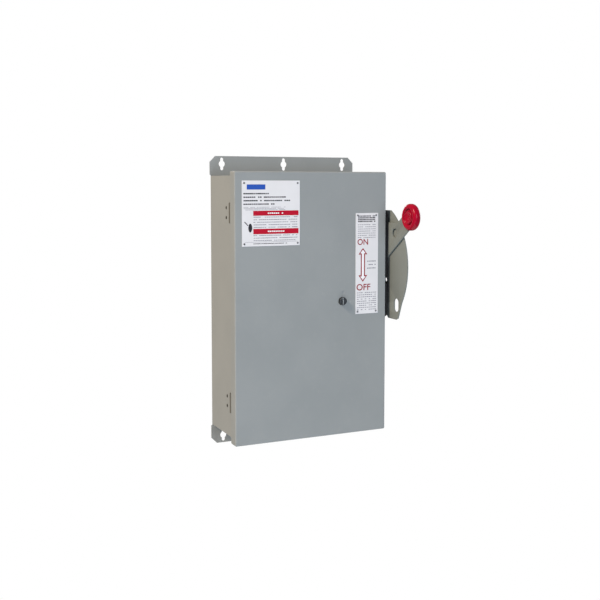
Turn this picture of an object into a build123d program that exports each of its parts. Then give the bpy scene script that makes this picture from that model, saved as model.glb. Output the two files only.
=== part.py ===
"""Three-pole fusible safety switch in a wall-mounted sheet-steel enclosure, with a side-operated handle.

Frame: millimetres, +Z up, the wall is the plane Y = 0 and the door faces -Y, +X is the handle's side.
The origin is the centre of the enclosure's back face. The switch is drawn closed (ON), the door shut and
latched. Every function below makes one node, which is one piece or a set of identical pieces.
"""
from build123d import *
import math
import os

# ---- sheet-metal enclosure ----
SHEET = 1.6                  # steel gauge of the box, the flanges and the door
BODY_WIDTH = 418.6
BODY_HEIGHT = 664.0
BODY_DEPTH = 176.0           # wall face to the front lips
LIP_WIDTH = 14.0             # inward return round the front opening
FLANGE_HEIGHT = 52.4         # mounting flange above and below the box
FLANGE_OVERHANG = 3.0        # flange wider than the box, each side
FLANGE_CHAMFER = 15.5
KEYHOLE_X = 178.5            # outer keyholes either side of the middle one
KEYHOLE_EDGE = 20.7          # keyhole centre to the flange's edge
KEYHOLE_R = 8.65             # screw-head circle
KEYHOLE_SLOT = 8.7           # screw-shank slot width
KEYHOLE_LENGTH = 33.2        # slot end to slot end
KNOCKOUTS = ((-110.0, 22.0), (0.0, 31.8), (110.0, 22.0))  # (place along X, radius)
KNOCKOUT_DEPTH = 1.2         # thickness left in a knockout slug

# ---- door ----
GASKET = 4.4                 # foam between the lips and the door
GASKET_WIDTH = 10.0
DOOR_RIGHT = 8.4             # door wider than the box on the right
DOOR_TOP = 10.5
DOOR_BOTTOM = 16.0
DOOR_FLANGE = 30.0           # depth of the door's returned edge
DOOR_CORNER = 4.0
DOOR_BEND = 3.0

# ---- hinges ----
HINGE_HEIGHT = 50.0
HINGE_UPPER_IN = 93.5        # hinge's middle below the box's top
HINGE_LOWER_IN = 88.3        # hinge's middle above the box's bottom
HINGE_BACK = 38.0            # hinge axis behind the door's front face
HINGE_OUT = 0.3              # hinge axis outside the box's side face
KNUCKLE_R = 3.2
HINGE_PIN_R = 1.6
HINGE_LEAF = 1.2
HINGE_GAP = 0.2              # door leaf to the box's side
HINGE_LEAF_DEPTH = 40.0
HINGE_RIVET_BACK = 27.0      # rivets behind the hinge axis
HINGE_RIVET_R = 2.4
RUNNING = 0.05               # radial clearance of a turning fit

# ---- quarter-turn latch ----
LATCH_IN = 122.1             # latch's centre in from the box's right side
LATCH_Z = 5.5
LATCH_HEAD_R = 10.5
LATCH_HEAD = 8.0             # how far the head stands off the door
LATCH_SHANK_R = 5.0
LATCH_PIN_R = 2.2
LATCH_PIN_HALF = 13.0
LATCH_PIN_GAP = 0.8          # cross pin behind the strike
STRIKE = 2.0
STRIKE_HEIGHT = 36.0
STRIKE_BEYOND = 25.2         # strike's end past the latch

# ---- labels ----
LABEL = 0.5                  # aluminium label plate
NAMEPLATE = (157.7, 164.0)   # width and height
NAMEPLATE_IN = (19.8, 23.1)  # in from the door's left and top edges
OPERATION = (67.0, 266.0)
OPERATION_IN = 24.0          # in from the door's right edge
OPERATION_RISE = 9.1         # label's middle above the handle's pivot
INSIDE_LABEL = (170.0, 290.0)
INSIDE_LABEL_Z = -85.0       # its middle
LABEL_RIVET_R = 2.2
LABEL_RIVET_IN = 6.0         # rivet centre in from the label's corner

# ---- handle ----
PIVOT_Y = -97.5
PIVOT_Z = 92.5
ON_ANGLE = 35.0              # lever above the horizontal when ON
THROW = 77.0
SHAFT_R = 10.0
BUSHING_WALL = 4.0
HANDLE_GASKET = 1.5
HANDLE_BASE = 17.0           # thickness of the moulded base
BASE_RIM = 5.5               # thinner front rim that passes beside the door
BASE_RIM_FRONT = 78.5        # rim's front edge, ahead of the pivot
BASE_FRONT = 44.0            # full-thickness part's front edge, ahead of the pivot
BASE_BACK = 70.0             # behind the pivot
BASE_TOP = 146.0
BASE_BOTTOM = -138.0
BASE_WALL = 3.0
LEVER = 4.0
LEVER_GAP = 0.5              # lever to the moulded base
LEVER_WIDTH = 47.0
LEVER_HUB_R = 30.0
WING_TOP = 116.0             # lever's wide part, above the pivot when ON
WING_BACK = 75.0
PLATE = 3.0
PLATE_GAP = 1.0              # lever to the quadrant plate
PLATE_R = 169.5
PLATE_ARC = (61.0, -33.5)    # the plate's rounded front, from the top down
LEVER_HOLE = (143.0, 3.5)    # lever's padlock hole: distance from the pivot, degrees above the lever's line
LEVER_HOLE_R = 12.0
PADLOCK_SLOT = (36.0, 22.0)  # the plate's upright slot: height and width
PADLOCK_PLACE = (114.6, -102.6)  # its middle, ahead of and above the pivot
SEAL_HOLE = (59.0, -39.0)    # wire-seal hole in the plate, ahead of and above the pivot
SEAL_HOLE_R = 5.5
SEAL_NOTCH = 18.0            # height of the notch in the base's rim beside it
KNOB_RADIUS = 232.3          # knob centre's distance from the pivot
KNOB_R = 34.5
KNOB_WIDTH = 21.0
KNOB_ROUND = 6.0
HANDLE_BOLT_R = 4.0
HANDLE_BOLTS = ((20.0, 124.0), (5.0, -122.0), (-48.0, 110.0), (-48.0, -110.0))  # (ahead of, above) the pivot

# ---- switch and fuse gear ----
POLE_PITCH = 80.0
GEAR_TO_FRAME = 51.0         # moulded bases to the mechanism frame
PAN_FRONT = 14.0             # front face of the mounting pan, from the wall
PAN = 2.0
MOULDED_BASE = 22.0
BARRIER = 3.0
BARRIER_DEPTH = 114.0
COPPER = 4.0
STRAP_WIDTH = 24.0
ROTOR_R = 17.0
JOURNAL_R = 8.0
BLADE_R = 66.0               # blade tip's distance from the rotor axis
BLADE = 6.0
BLADE_WIDTH = 26.0
JAW_CHEEK = 2.0
JAW_GAP = 0.2
JAW_DEPTH = 32.0
JAW_LENGTH = 34.0
LUG = (26.0, 28.0, 32.0)     # wire lug block
LUG_BORE_R = 8.5
LUG_SCREW_R = 7.0
FUSE_Z = -95.0
FUSE_R = 20.5
FUSE_BODY = 76.0
FUSE_LENGTH = 146.0
FUSE_BLADE = (4.8, 28.6)
FUSE_CAP = 9.0
BRACKET = 3.0                # mechanism frame and bearing brackets
FRAME_DEPTH = 63.7           # mechanism frame, in from the right wall
GROUND_BAR = (120.0, 12.0, 14.0)
GROUND_BAR_IN = (39.3, 32.0)  # in from the box's right side, up from its bottom
GROUND_SCREWS = 6

# ---- places worked out from the sizes above ----
SIDE = BODY_WIDTH / 2
END = BODY_HEIGHT / 2
LIP_FACE = -BODY_DEPTH
DOOR_INNER = LIP_FACE - GASKET
DOOR_FRONT = DOOR_INNER - SHEET
DOOR_LEFT = SHEET + HINGE_LEAF + HINGE_GAP
DOOR_X = (-SIDE - DOOR_LEFT, SIDE + DOOR_RIGHT)
DOOR_Z = (-END - DOOR_BOTTOM, END + DOOR_TOP)
FLANGE_TOP = END + FLANGE_HEIGHT
KEYHOLE_Z = FLANGE_TOP - KEYHOLE_EDGE
HINGE_X = -SIDE - HINGE_OUT
HINGE_Y = DOOR_FRONT + HINGE_BACK
HINGES_Z = (END - HINGE_UPPER_IN, -END + HINGE_LOWER_IN)
LATCH_X = SIDE - LATCH_IN
NAMEPLATE_X = (DOOR_X[0] + NAMEPLATE_IN[0], DOOR_X[0] + NAMEPLATE_IN[0] + NAMEPLATE[0])
NAMEPLATE_Z = (DOOR_Z[1] - NAMEPLATE_IN[1] - NAMEPLATE[1], DOOR_Z[1] - NAMEPLATE_IN[1])
OPERATION_X = (DOOR_X[1] - OPERATION_IN - OPERATION[0], DOOR_X[1] - OPERATION_IN)
OPERATION_Z = (PIVOT_Z + OPERATION_RISE - OPERATION[1] / 2, PIVOT_Z + OPERATION_RISE + OPERATION[1] / 2)
STRIKE_FRONT = LIP_FACE + SHEET
BASE_X = (SIDE + HANDLE_GASKET, SIDE + HANDLE_GASKET + HANDLE_BASE)
LEVER_X = (BASE_X[1] + LEVER_GAP, BASE_X[1] + LEVER_GAP + LEVER)
PLATE_X = (LEVER_X[1] + PLATE_GAP, LEVER_X[1] + PLATE_GAP + PLATE)
FRAME_X = (SIDE - SHEET - FRAME_DEPTH, SIDE - SHEET)
POLE_RIGHT = FRAME_X[0] - GEAR_TO_FRAME - BARRIER - POLE_PITCH / 2
POLES = tuple(POLE_RIGHT - POLE_PITCH * n for n in (2, 1, 0))
BASE_FACE = -PAN_FRONT - MOULDED_BASE
STRAP_FACE = BASE_FACE - COPPER
GEAR_X = (POLES[0] - POLE_PITCH / 2 - BARRIER, POLES[-1] + POLE_PITCH / 2 + BARRIER)
ROTOR_X = (GEAR_X[0] - 7.0, GEAR_X[1] + 29.0)
JAW_TIP = 5.0                # jaw web beyond the blade's tip
JAW_Z = (PIVOT_Z + BLADE_R + JAW_TIP, PIVOT_Z - BLADE_R - JAW_TIP)
LINE_LUG_Z = JAW_Z[0] + 66.0
LOAD_LUG_Z = FUSE_Z - FUSE_LENGTH / 2 - 48.0
LINE_BASE_Z = (PIVOT_Z + ROTOR_R + 12.0, LINE_LUG_Z + 30.0)
FUSE_BASE_Z = (LOAD_LUG_Z - 29.0, PIVOT_Z - ROTOR_R - 14.0)
FUSE_Y = PIVOT_Y + 4.0
GROUND_BAR_X = (SIDE - GROUND_BAR_IN[0] - GROUND_BAR[0], SIDE - GROUND_BAR_IN[0])
GROUND_BAR_Z = (-END + GROUND_BAR_IN[1], -END + GROUND_BAR_IN[1] + GROUND_BAR[2])


def block(x, y, z):
    """A box between two X, two Y and two Z values, given in either order."""
    size = [abs(b - a) for a, b in (x, y, z)]
    return Pos(*[(a + b) / 2 for a, b in (x, y, z)]) * Box(*size)


def rod_x(x, y, z, radius):
    """A round bar along X between two X values."""
    return Pos((x[0] + x[1]) / 2, y, z) * Rot(0, 90, 0) * Cylinder(radius, abs(x[1] - x[0]))


def rod_y(x, y, z, radius):
    """A round bar along Y between two Y values."""
    return Pos(x, (y[0] + y[1]) / 2, z) * Rot(90, 0, 0) * Cylinder(radius, abs(y[1] - y[0]))


def rod_z(x, y, z, radius):
    """A round bar along Z between two Z values."""
    return Pos(x, y, (z[0] + z[1]) / 2) * Cylinder(radius, abs(z[1] - z[0]))


def hex_y(x, y, z, across):
    """A hexagon bar along Y, given by its width across the flats."""
    profile = RegularPolygon(across / 2, 6, major_radius=False)
    return extrude(Plane((x, max(y), z), x_dir=(1, 0, 0), z_dir=(0, -1, 0)) * profile, abs(y[1] - y[0]))


def hex_x(x, y, z, across):
    """A hexagon bar along X, given by its width across the flats."""
    profile = RegularPolygon(across / 2, 6, major_radius=False)
    return extrude(Plane((min(x), y, z), x_dir=(0, 1, 0), z_dir=(1, 0, 0)) * profile, abs(x[1] - x[0]))


def side_profile(x, outline):
    """A flat plate between two X values, from a sketch drawn as (ahead of, above) the handle's pivot."""
    plane = Plane((x[0], PIVOT_Y, PIVOT_Z), x_dir=(0, -1, 0), z_dir=(-1, 0, 0))
    return extrude(plane * outline, -(x[1] - x[0]))


def polar(radius, degrees):
    """A point at a radius and an angle from the pivot, with the angle above the horizontal."""
    angle = math.radians(degrees)
    return radius * math.cos(angle), radius * math.sin(angle)


# ---------------------------------------------------------------- enclosure

def keyhole(x, z):
    """Cutter for one mounting keyhole: a screw-head circle with a slot above and below it."""
    cut = (-2 * SHEET, SHEET)
    end = (KEYHOLE_LENGTH - KEYHOLE_SLOT) / 2
    slot = block((x - KEYHOLE_SLOT / 2, x + KEYHOLE_SLOT / 2), cut, (z - end, z + end))
    ends = [rod_y(x, cut, z + side * end, KEYHOLE_SLOT / 2) for side in (-1, 1)]
    return rod_y(x, cut, z, KEYHOLE_R) + slot + ends


def back_plate():
    """Flat back, carried above and below the box as mounting flanges, with relief at the box's corners."""
    wide = SIDE + FLANGE_OVERHANG
    c = FLANGE_CHAMFER
    upper = [(SIDE, END + SHEET), (wide, END + 2 * SHEET), (wide, FLANGE_TOP - c), (wide - c, FLANGE_TOP)]
    right = [(x, -z) for x, z in reversed(upper)] + upper
    outline = right + [(-x, z) for x, z in reversed(right)]
    face = make_face(Polyline(*outline, close=True))
    plate = extrude(Plane.XZ * face, SHEET)
    holes = [keyhole(x, z) for x in (-KEYHOLE_X, 0, KEYHOLE_X) for z in (-KEYHOLE_Z, KEYHOLE_Z)]
    return plate - holes


def wall_y():
    """Front and rear limits of the four walls, between the back plate and the front lips."""
    return LIP_FACE + SHEET, -SHEET


def left_side_wall():
    """Hinge-side wall, slotted for the hinge knuckles and drilled for the leaf rivets."""
    x = (-SIDE, -SIDE + SHEET)
    wall = block(x, wall_y(), (-END, END))
    knuckle = KNUCKLE_R + 1.0
    half = HINGE_HEIGHT / 2 + 1.0
    for z in HINGES_Z:
        wall -= block((-SIDE - 1, -SIDE + SHEET + 1), (HINGE_Y - knuckle, HINGE_Y + knuckle), (z - half, z + half))
        for y, rivet_z in hinge_rivet_places(z):
            wall -= rod_x((-SIDE - 1, -SIDE + SHEET + 1), y, rivet_z, HINGE_RIVET_R)
    return wall


def right_side_wall():
    """Handle-side wall, with the bushing's hole and four bolt holes."""
    wall = block((SIDE - SHEET, SIDE), wall_y(), (-END, END))
    through = (SIDE - 2 * SHEET, SIDE + SHEET)
    wall -= rod_x(through, PIVOT_Y, PIVOT_Z, SHAFT_R + BUSHING_WALL)
    return wall - handle_bolt_rods(through, HANDLE_BOLT_R)


def end_wall(z):
    """Top or bottom wall between two Z values, open where the knockout slugs sit."""
    wall = block((-SIDE + SHEET, SIDE - SHEET), wall_y(), z)
    middle_y = -BODY_DEPTH / 2
    reach = (min(z) - 1, max(z) + 1)
    return wall - [rod_z(x, middle_y, reach, radius) for x, radius in KNOCKOUTS]


def top_end_wall():
    """Top wall of the box."""
    return end_wall((END - SHEET, END))


def bottom_end_wall():
    """Bottom wall of the box."""
    return end_wall((-END, -END + SHEET))


def knockout_slugs():
    """Round slugs still held in the end walls' knockouts, a little thinner than the sheet."""
    inset = (SHEET - KNOCKOUT_DEPTH) / 2
    slugs = []
    for z in (END - SHEET, -END):
        for x, radius in KNOCKOUTS:
            slugs.append(rod_z(x, -BODY_DEPTH / 2, (z + inset, z + inset + KNOCKOUT_DEPTH), radius))
    return slugs


def front_lips():
    """Inward return round the front opening, which the door's gasket meets."""
    y = (LIP_FACE, LIP_FACE + SHEET)
    frame = block((-SIDE, SIDE), y, (-END, END))
    opening = (SIDE - LIP_WIDTH, END - LIP_WIDTH)
    return frame - block((-opening[0], opening[0]), (y[0] - 1, y[1] + 1), (-opening[1], opening[1]))


# ---------------------------------------------------------------- hinges

def hinge_rivet_places(z):
    """(Y, Z) of the two rivets that hold one box leaf."""
    spread = HINGE_HEIGHT / 4
    return [(HINGE_Y + HINGE_RIVET_BACK, z + side * spread) for side in (-1, 1)]


def knuckle_spans(z):
    """Z limits of the lower, middle and upper knuckles of one hinge."""
    gap = 0.3
    third = HINGE_HEIGHT / 3
    low = z - HINGE_HEIGHT / 2
    return [(low + n * third + gap / 2, low + (n + 1) * third - gap / 2) for n in range(3)]


def hinge_box_leaves():
    """Leaf inside the left wall with its two outer knuckles, which hold the pin tight."""
    inside = -SIDE + SHEET
    leaves = []
    for z in HINGES_Z:
        half = HINGE_HEIGHT / 2 - 0.2
        plate_y = (HINGE_Y + KNUCKLE_R + 0.4, HINGE_Y + HINGE_LEAF_DEPTH)
        leaf = block((inside, inside + HINGE_LEAF), plate_y, (z - half, z + half))
        lower, _, upper = knuckle_spans(z)
        for span in (lower, upper):
            leaf += rod_z(HINGE_X, HINGE_Y, span, KNUCKLE_R)
            leaf += block((inside, inside + HINGE_LEAF), (HINGE_Y, plate_y[0] + 1), span)
        for span in (lower, upper):
            leaf -= rod_z(HINGE_X, HINGE_Y, span, HINGE_PIN_R)
        for y, rivet_z in hinge_rivet_places(z):
            leaf -= rod_x((inside - 1, inside + HINGE_LEAF + 1), y, rivet_z, HINGE_RIVET_R)
        leaves.append(leaf)
    return leaves


def hinge_pins():
    """Two hinge pins, fixed in the box leaves."""
    half = HINGE_HEIGHT / 2 + 1.0
    return [rod_z(HINGE_X, HINGE_Y, (z - half, z + half), HINGE_PIN_R) for z in HINGES_Z]


def hinge_rivets():
    """Four rivets through the left wall and the box leaves."""
    head = 1.2
    outer, inner = -SIDE, -SIDE + SHEET + HINGE_LEAF
    rivets = []
    for z in HINGES_Z:
        for y, rivet_z in hinge_rivet_places(z):
            rivet = rod_x((outer, inner), y, rivet_z, HINGE_RIVET_R)
            rivet += rod_x((outer - head, outer), y, rivet_z, 1.8 * HINGE_RIVET_R)
            rivet += rod_x((inner, inner + head), y, rivet_z, 1.6 * HINGE_RIVET_R)
            rivets.append(rivet)
    return rivets


def hinge_door_leaves():
    """Leaf welded inside the door's left flange, with the middle knuckle turning on the pin."""
    inside = DOOR_X[0] + SHEET
    leaves = []
    for z in HINGES_Z:
        span = knuckle_spans(z)[1]
        flange_end = DOOR_FRONT + DOOR_FLANGE
        half = HINGE_HEIGHT / 2 + 6.0
        leaf = block((inside, inside + HINGE_LEAF), (flange_end - 22.0, flange_end), (z - half, z + half))
        leaf += block((inside, inside + HINGE_LEAF), (flange_end - 1, HINGE_Y), span)
        leaf += rod_z(HINGE_X, HINGE_Y, span, KNUCKLE_R)
        leaf -= rod_z(HINGE_X, HINGE_Y, span, HINGE_PIN_R + RUNNING)
        leaves.append(leaf)
    return leaves


# ---------------------------------------------------------------- door

def rounded_pan(x, y, z, corner, bend):
    """A block with rounded upright corners and a rounded front edge."""
    pan = block(x, y, z)
    pan = fillet(pan.edges().filter_by(Axis.Y), corner)
    front = pan.faces().sort_by(Axis.Y)[0]
    return fillet(front.edges(), bend)


def door_panel():
    """Front panel with a flange returned all round, pierced for the latch."""
    back = DOOR_FRONT + DOOR_FLANGE
    pan = rounded_pan(DOOR_X, (DOOR_FRONT, back), DOOR_Z, DOOR_CORNER, DOOR_BEND)
    inner_x = (DOOR_X[0] + SHEET, DOOR_X[1] - SHEET)
    inner_z = (DOOR_Z[0] + SHEET, DOOR_Z[1] - SHEET)
    hollow = rounded_pan(inner_x, (DOOR_INNER, back + 1), inner_z, DOOR_CORNER - SHEET, DOOR_BEND - SHEET)
    hole = rod_y(LATCH_X, (DOOR_FRONT - 1, DOOR_INNER + 1), LATCH_Z, LATCH_SHANK_R + RUNNING)
    rivets = [rod_y(x, (DOOR_FRONT - 1, DOOR_INNER + 1), z, LABEL_RIVET_R) for x, z in all_label_rivets()]
    return pan - hollow - hole - rivets


def door_gasket():
    """Foam strip round the inside of the door, meeting the front lips."""
    side = (LIP_WIDTH - GASKET_WIDTH) / 2
    out = (SIDE - side, END - side)
    inn = (out[0] - GASKET_WIDTH, out[1] - GASKET_WIDTH)
    y = (DOOR_INNER, LIP_FACE)
    ring = block((-out[0], out[0]), y, (-out[1], out[1]))
    return ring - block((-inn[0], inn[0]), (y[0] - 1, y[1] + 1), (-inn[1], inn[1]))


def label_rivet_places(x, z):
    """(X, Z) of the four rivets of one label."""
    d = LABEL_RIVET_IN
    return [(a, b) for a in (x[0] + d, x[1] - d) for b in (z[0] + d, z[1] - d)]


def all_label_rivets():
    """(X, Z) of both labels' rivets."""
    return label_rivet_places(NAMEPLATE_X, NAMEPLATE_Z) + label_rivet_places(OPERATION_X, OPERATION_Z)


def label_plate(x, z):
    """Thin label plate on the door's face, with its four rivet holes."""
    y = (DOOR_FRONT - LABEL, DOOR_FRONT)
    holes = [rod_y(a, (y[0] - 1, y[1] + 1), b, LABEL_RIVET_R) for a, b in label_rivet_places(x, z)]
    return block(x, y, z) - holes


def nameplate():
    """Rating plate at the door's top left."""
    return label_plate(NAMEPLATE_X, NAMEPLATE_Z)


def operation_label():
    """ON and OFF plate beside the handle."""
    return label_plate(OPERATION_X, OPERATION_Z)


def label_rivets():
    """Drive rivets of both labels, each through its plate and the door."""
    face = DOOR_FRONT - LABEL
    rivets = []
    for x, z in all_label_rivets():
        shank = rod_y(x, (face, DOOR_INNER + 0.8), z, LABEL_RIVET_R)
        rivets.append(shank + rod_y(x, (face - 1.0, face), z, 1.6 * LABEL_RIVET_R))
    return rivets


def inside_label():
    """Paper wiring label stuck inside the door."""
    middle = sum(DOOR_X) / 2 - OPERATION[0]
    x = (middle - INSIDE_LABEL[0] / 2, middle + INSIDE_LABEL[0] / 2)
    z = (INSIDE_LABEL_Z - INSIDE_LABEL[1] / 2, INSIDE_LABEL_Z + INSIDE_LABEL[1] / 2)
    return block(x, (DOOR_INNER, DOOR_INNER + 0.4), z)


def interlock_bracket():
    """Tab welded inside the door. The interlock cam's finger fills its window while the switch is ON."""
    x = (interlock_x()[0] - 9.0, interlock_x()[1] + 9.0)
    z = (PIVOT_Z - 1.0, PIVOT_Z + 1.0)
    tab = block(x, (DOOR_INNER, PIVOT_Y - 54.0), z)
    foot = block(x, (DOOR_INNER, DOOR_INNER + 2.0), (z[1], z[1] + 18.0))
    slot_x = (interlock_x()[0] - 1.5, interlock_x()[1] + 1.5)
    return tab + foot - block(slot_x, (PIVOT_Y - 70.0, PIVOT_Y - 58.0), (z[0] - 1, z[1] + 1))


# ---------------------------------------------------------------- latch

def latch_stud():
    """Slotted quarter-turn head with its shank, drilled for the cross pin."""
    tip = STRIKE_FRONT + STRIKE + LATCH_PIN_GAP + 2 * LATCH_PIN_R + 4.0
    head = rod_y(LATCH_X, (DOOR_FRONT - LATCH_HEAD, DOOR_FRONT - 0.1), LATCH_Z, LATCH_HEAD_R)
    head = fillet(head.faces().sort_by(Axis.Y)[0].edges(), 1.5)
    slot_x = (LATCH_X - 1.6, LATCH_X + 1.6)
    slot_y = (DOOR_FRONT - LATCH_HEAD - 1, DOOR_FRONT - LATCH_HEAD + 3.0)
    head -= block(slot_x, slot_y, (LATCH_Z - 12, LATCH_Z + 12))
    stud = head + rod_y(LATCH_X, (DOOR_FRONT - 0.2, tip), LATCH_Z, LATCH_SHANK_R)
    return stud - rod_x((LATCH_X - 20, LATCH_X + 20), latch_pin_y(), LATCH_Z, LATCH_PIN_R)


def latch_pin_y():
    """Cross pin's place behind the strike."""
    return STRIKE_FRONT + STRIKE + LATCH_PIN_GAP + LATCH_PIN_R


def latch_cross_pin():
    """Pin through the stud. It bears on the back of the strike, and passes its slot after a quarter turn."""
    return rod_x((LATCH_X - LATCH_PIN_HALF, LATCH_X + LATCH_PIN_HALF), latch_pin_y(), LATCH_Z, LATCH_PIN_R)


def latch_washer():
    """Retaining washer on the stud, inside the door."""
    y = (DOOR_INNER + 0.1, DOOR_INNER + 1.6)
    return rod_y(LATCH_X, y, LATCH_Z, 9.0) - rod_y(LATCH_X, y, LATCH_Z, LATCH_SHANK_R)


def latch_strike():
    """Channel across to the right-hand lip. Its slot lets the cross pin through when the latch is turned."""
    x = (LATCH_X - STRIKE_BEYOND, SIDE - SHEET)
    z = (LATCH_Z - STRIKE_HEIGHT / 2, LATCH_Z + STRIKE_HEIGHT / 2)
    y = (STRIKE_FRONT, STRIKE_FRONT + STRIKE)
    flange = (y[0], y[0] + 12.0)
    channel = block(x, y, z) + block(x, flange, (z[0], z[0] + STRIKE)) + block(x, flange, (z[1] - STRIKE, z[1]))
    reach = (y[0] - 1, y[1] + 1)
    hole = rod_y(LATCH_X, reach, LATCH_Z, LATCH_SHANK_R + 1.0)
    half = LATCH_PIN_HALF + 1.0
    width = LATCH_PIN_R + 0.8
    slot = block((LATCH_X - width, LATCH_X + width), reach, (LATCH_Z - half, LATCH_Z + half))
    return channel - hole - slot


# ---------------------------------------------------------------- handle

def handle_bolt_rods(x, radius):
    """Rods along X at the four handle bolts."""
    return [rod_x(x, PIVOT_Y - u, PIVOT_Z + w, radius) for u, w in HANDLE_BOLTS]


def base_outline(front, inset=0.0):
    """Side view of the moulded base, from its front edge back, with rounded corners."""
    width, height = front + BASE_BACK - 2 * inset, BASE_TOP - BASE_BOTTOM - 2 * inset
    centre = ((front - BASE_BACK) / 2, (BASE_TOP + BASE_BOTTOM) / 2)
    return Pos(*centre) * RectangleRounded(width, height, 14.0 - inset)


def handle_gasket():
    """Flat gasket between the right wall and the moulded base."""
    x = (SIDE, BASE_X[0])
    sheet = side_profile(x, base_outline(BASE_FRONT, 1.0))
    sheet -= rod_x(x, PIVOT_Y, PIVOT_Z, SHAFT_R + BUSHING_WALL)
    return sheet - handle_bolt_rods(x, HANDLE_BOLT_R)


def handle_base():
    """Black moulded base, hollow towards the wall, with a thin rim reaching forward beside the door."""
    skin = BASE_X[1] - BASE_WALL
    base = side_profile(BASE_X, base_outline(BASE_FRONT))
    rim_depth = BASE_RIM_FRONT - BASE_FRONT
    notch = Pos(BASE_RIM_FRONT - rim_depth / 2, SEAL_HOLE[1]) * Rectangle(rim_depth, SEAL_NOTCH)
    base += side_profile((BASE_X[1] - BASE_RIM, BASE_X[1]), base_outline(BASE_RIM_FRONT) - notch)
    base -= side_profile((BASE_X[0] - 1, skin), base_outline(BASE_FRONT, BASE_WALL))
    posts = handle_bolt_rods((BASE_X[0], skin), HANDLE_BOLT_R + 4.0)
    posts.append(rod_x((BASE_X[0], skin), PIVOT_Y, PIVOT_Z, SHAFT_R + 2 * BUSHING_WALL))
    base += posts
    base -= rod_x((BASE_X[0] - 1, BASE_X[1] + 1), PIVOT_Y, PIVOT_Z, SHAFT_R + BUSHING_WALL)
    return base - handle_bolt_rods((BASE_X[0] - 1, BASE_X[1] + 1), HANDLE_BOLT_R)


def plate_outline():
    """Quadrant plate's side view: a round front about the pivot, a lower corner for the padlock slot."""
    start, end = (polar(PLATE_R, angle) for angle in PLATE_ARC)
    middle = polar(PLATE_R, sum(PLATE_ARC) / 2)
    back, lower, higher = -BASE_BACK, BASE_BOTTOM - 3.5, BASE_BOTTOM + 10.5
    edge = ThreePointArc(start, middle, end)
    corner = [(123.5, lower + 4.5), (113.5, lower), (72.0, lower), (58.0, higher), (back, higher)]
    return make_face(edge + Polyline(end, *corner, (back, start[1]), start))


def padlock_slot():
    """Upright slot in the quadrant plate. The lever's hole stands in it at OFF."""
    return Pos(*PADLOCK_PLACE) * Rot(0, 0, 90) * SlotOverall(*PADLOCK_SLOT)


def quadrant_plate():
    """Painted plate outside the lever. It carries the shaft's outer end and the padlock slot."""
    seal_hole = Pos(*SEAL_HOLE) * Circle(SEAL_HOLE_R)
    plate = side_profile(PLATE_X, plate_outline() - padlock_slot() - seal_hole)
    plate -= rod_x((PLATE_X[0] - 1, PLATE_X[1] + 1), PIVOT_Y, PIVOT_Z, SHAFT_R + RUNNING)
    return plate - handle_bolt_rods((PLATE_X[0] - 1, PLATE_X[1] + 1), HANDLE_BOLT_R)


def plate_spacers():
    """Tubes that hold the quadrant plate off the moulded base."""
    x = (BASE_X[1], PLATE_X[0])
    tubes = zip(handle_bolt_rods(x, HANDLE_BOLT_R + 4.0), handle_bolt_rods(x, HANDLE_BOLT_R))
    return [outer - inner for outer, inner in tubes]


def handle_bolts():
    """Bolts through the plate, the spacers, the base, the wall and the mechanism frame."""
    x = (FRAME_X[1] - BRACKET - 6.0, PLATE_X[1])
    bolts = []
    for u, w in HANDLE_BOLTS:
        y, z = PIVOT_Y - u, PIVOT_Z + w
        head = hex_x((x[1], x[1] + 5.0), y, z, 13.0)
        bolts.append(rod_x(x, y, z, HANDLE_BOLT_R) + head)
    return bolts


def handle_nuts():
    """Nuts of the handle bolts, inside the mechanism frame."""
    x = (FRAME_X[1] - BRACKET - 5.0, FRAME_X[1] - BRACKET)
    nuts = []
    for u, w in HANDLE_BOLTS:
        y, z = PIVOT_Y - u, PIVOT_Z + w
        nuts.append(hex_x(x, y, z, 13.0) - rod_x(x, y, z, HANDLE_BOLT_R))
    return nuts


def shaft_bushing():
    """Bronze bushing through the frame, the wall, the gasket and the base."""
    x = (FRAME_X[1] - BRACKET, BASE_X[1])
    tube = rod_x(x, PIVOT_Y, PIVOT_Z, SHAFT_R + BUSHING_WALL)
    collar = rod_x((x[0] - 3.0, x[0]), PIVOT_Y, PIVOT_Z, SHAFT_R + 2 * BUSHING_WALL)
    return tube + collar - rod_x((x[0] - 4, x[1] + 1), PIVOT_Y, PIVOT_Z, SHAFT_R + RUNNING)


def lever_outline():
    """Lever's side view when ON: hub, straight arm to the knob, and the wide part behind the arc."""
    half = LEVER_WIDTH / 2
    rise = math.radians(ON_ANGLE)
    arm = Pos(*polar(KNOB_RADIUS / 2, ON_ANGLE)) * Rot(0, 0, ON_ANGLE) * Rectangle(KNOB_RADIUS, LEVER_WIDTH)
    tip = Pos(*polar(KNOB_RADIUS, ON_ANGLE)) * Circle(half)
    along = (WING_TOP - half * math.cos(rise)) / math.sin(rise)
    corner = along * math.cos(rise) - half * math.sin(rise)
    wing = make_face(Polyline((corner, WING_TOP), (WING_BACK, WING_TOP), (0.0, LEVER_HUB_R), (0, 0), close=True))
    return Circle(LEVER_HUB_R) + arm + tip + wing


def lever():
    """Flat steel lever with the padlock hole, welded to the shaft."""
    hole = Pos(*polar(LEVER_HOLE[0], ON_ANGLE + LEVER_HOLE[1])) * Circle(LEVER_HOLE_R)
    arm = side_profile(LEVER_X, lever_outline() - hole)
    return arm - rod_x((LEVER_X[0] - 1, LEVER_X[1] + 1), PIVOT_Y, PIVOT_Z, SHAFT_R)


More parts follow.
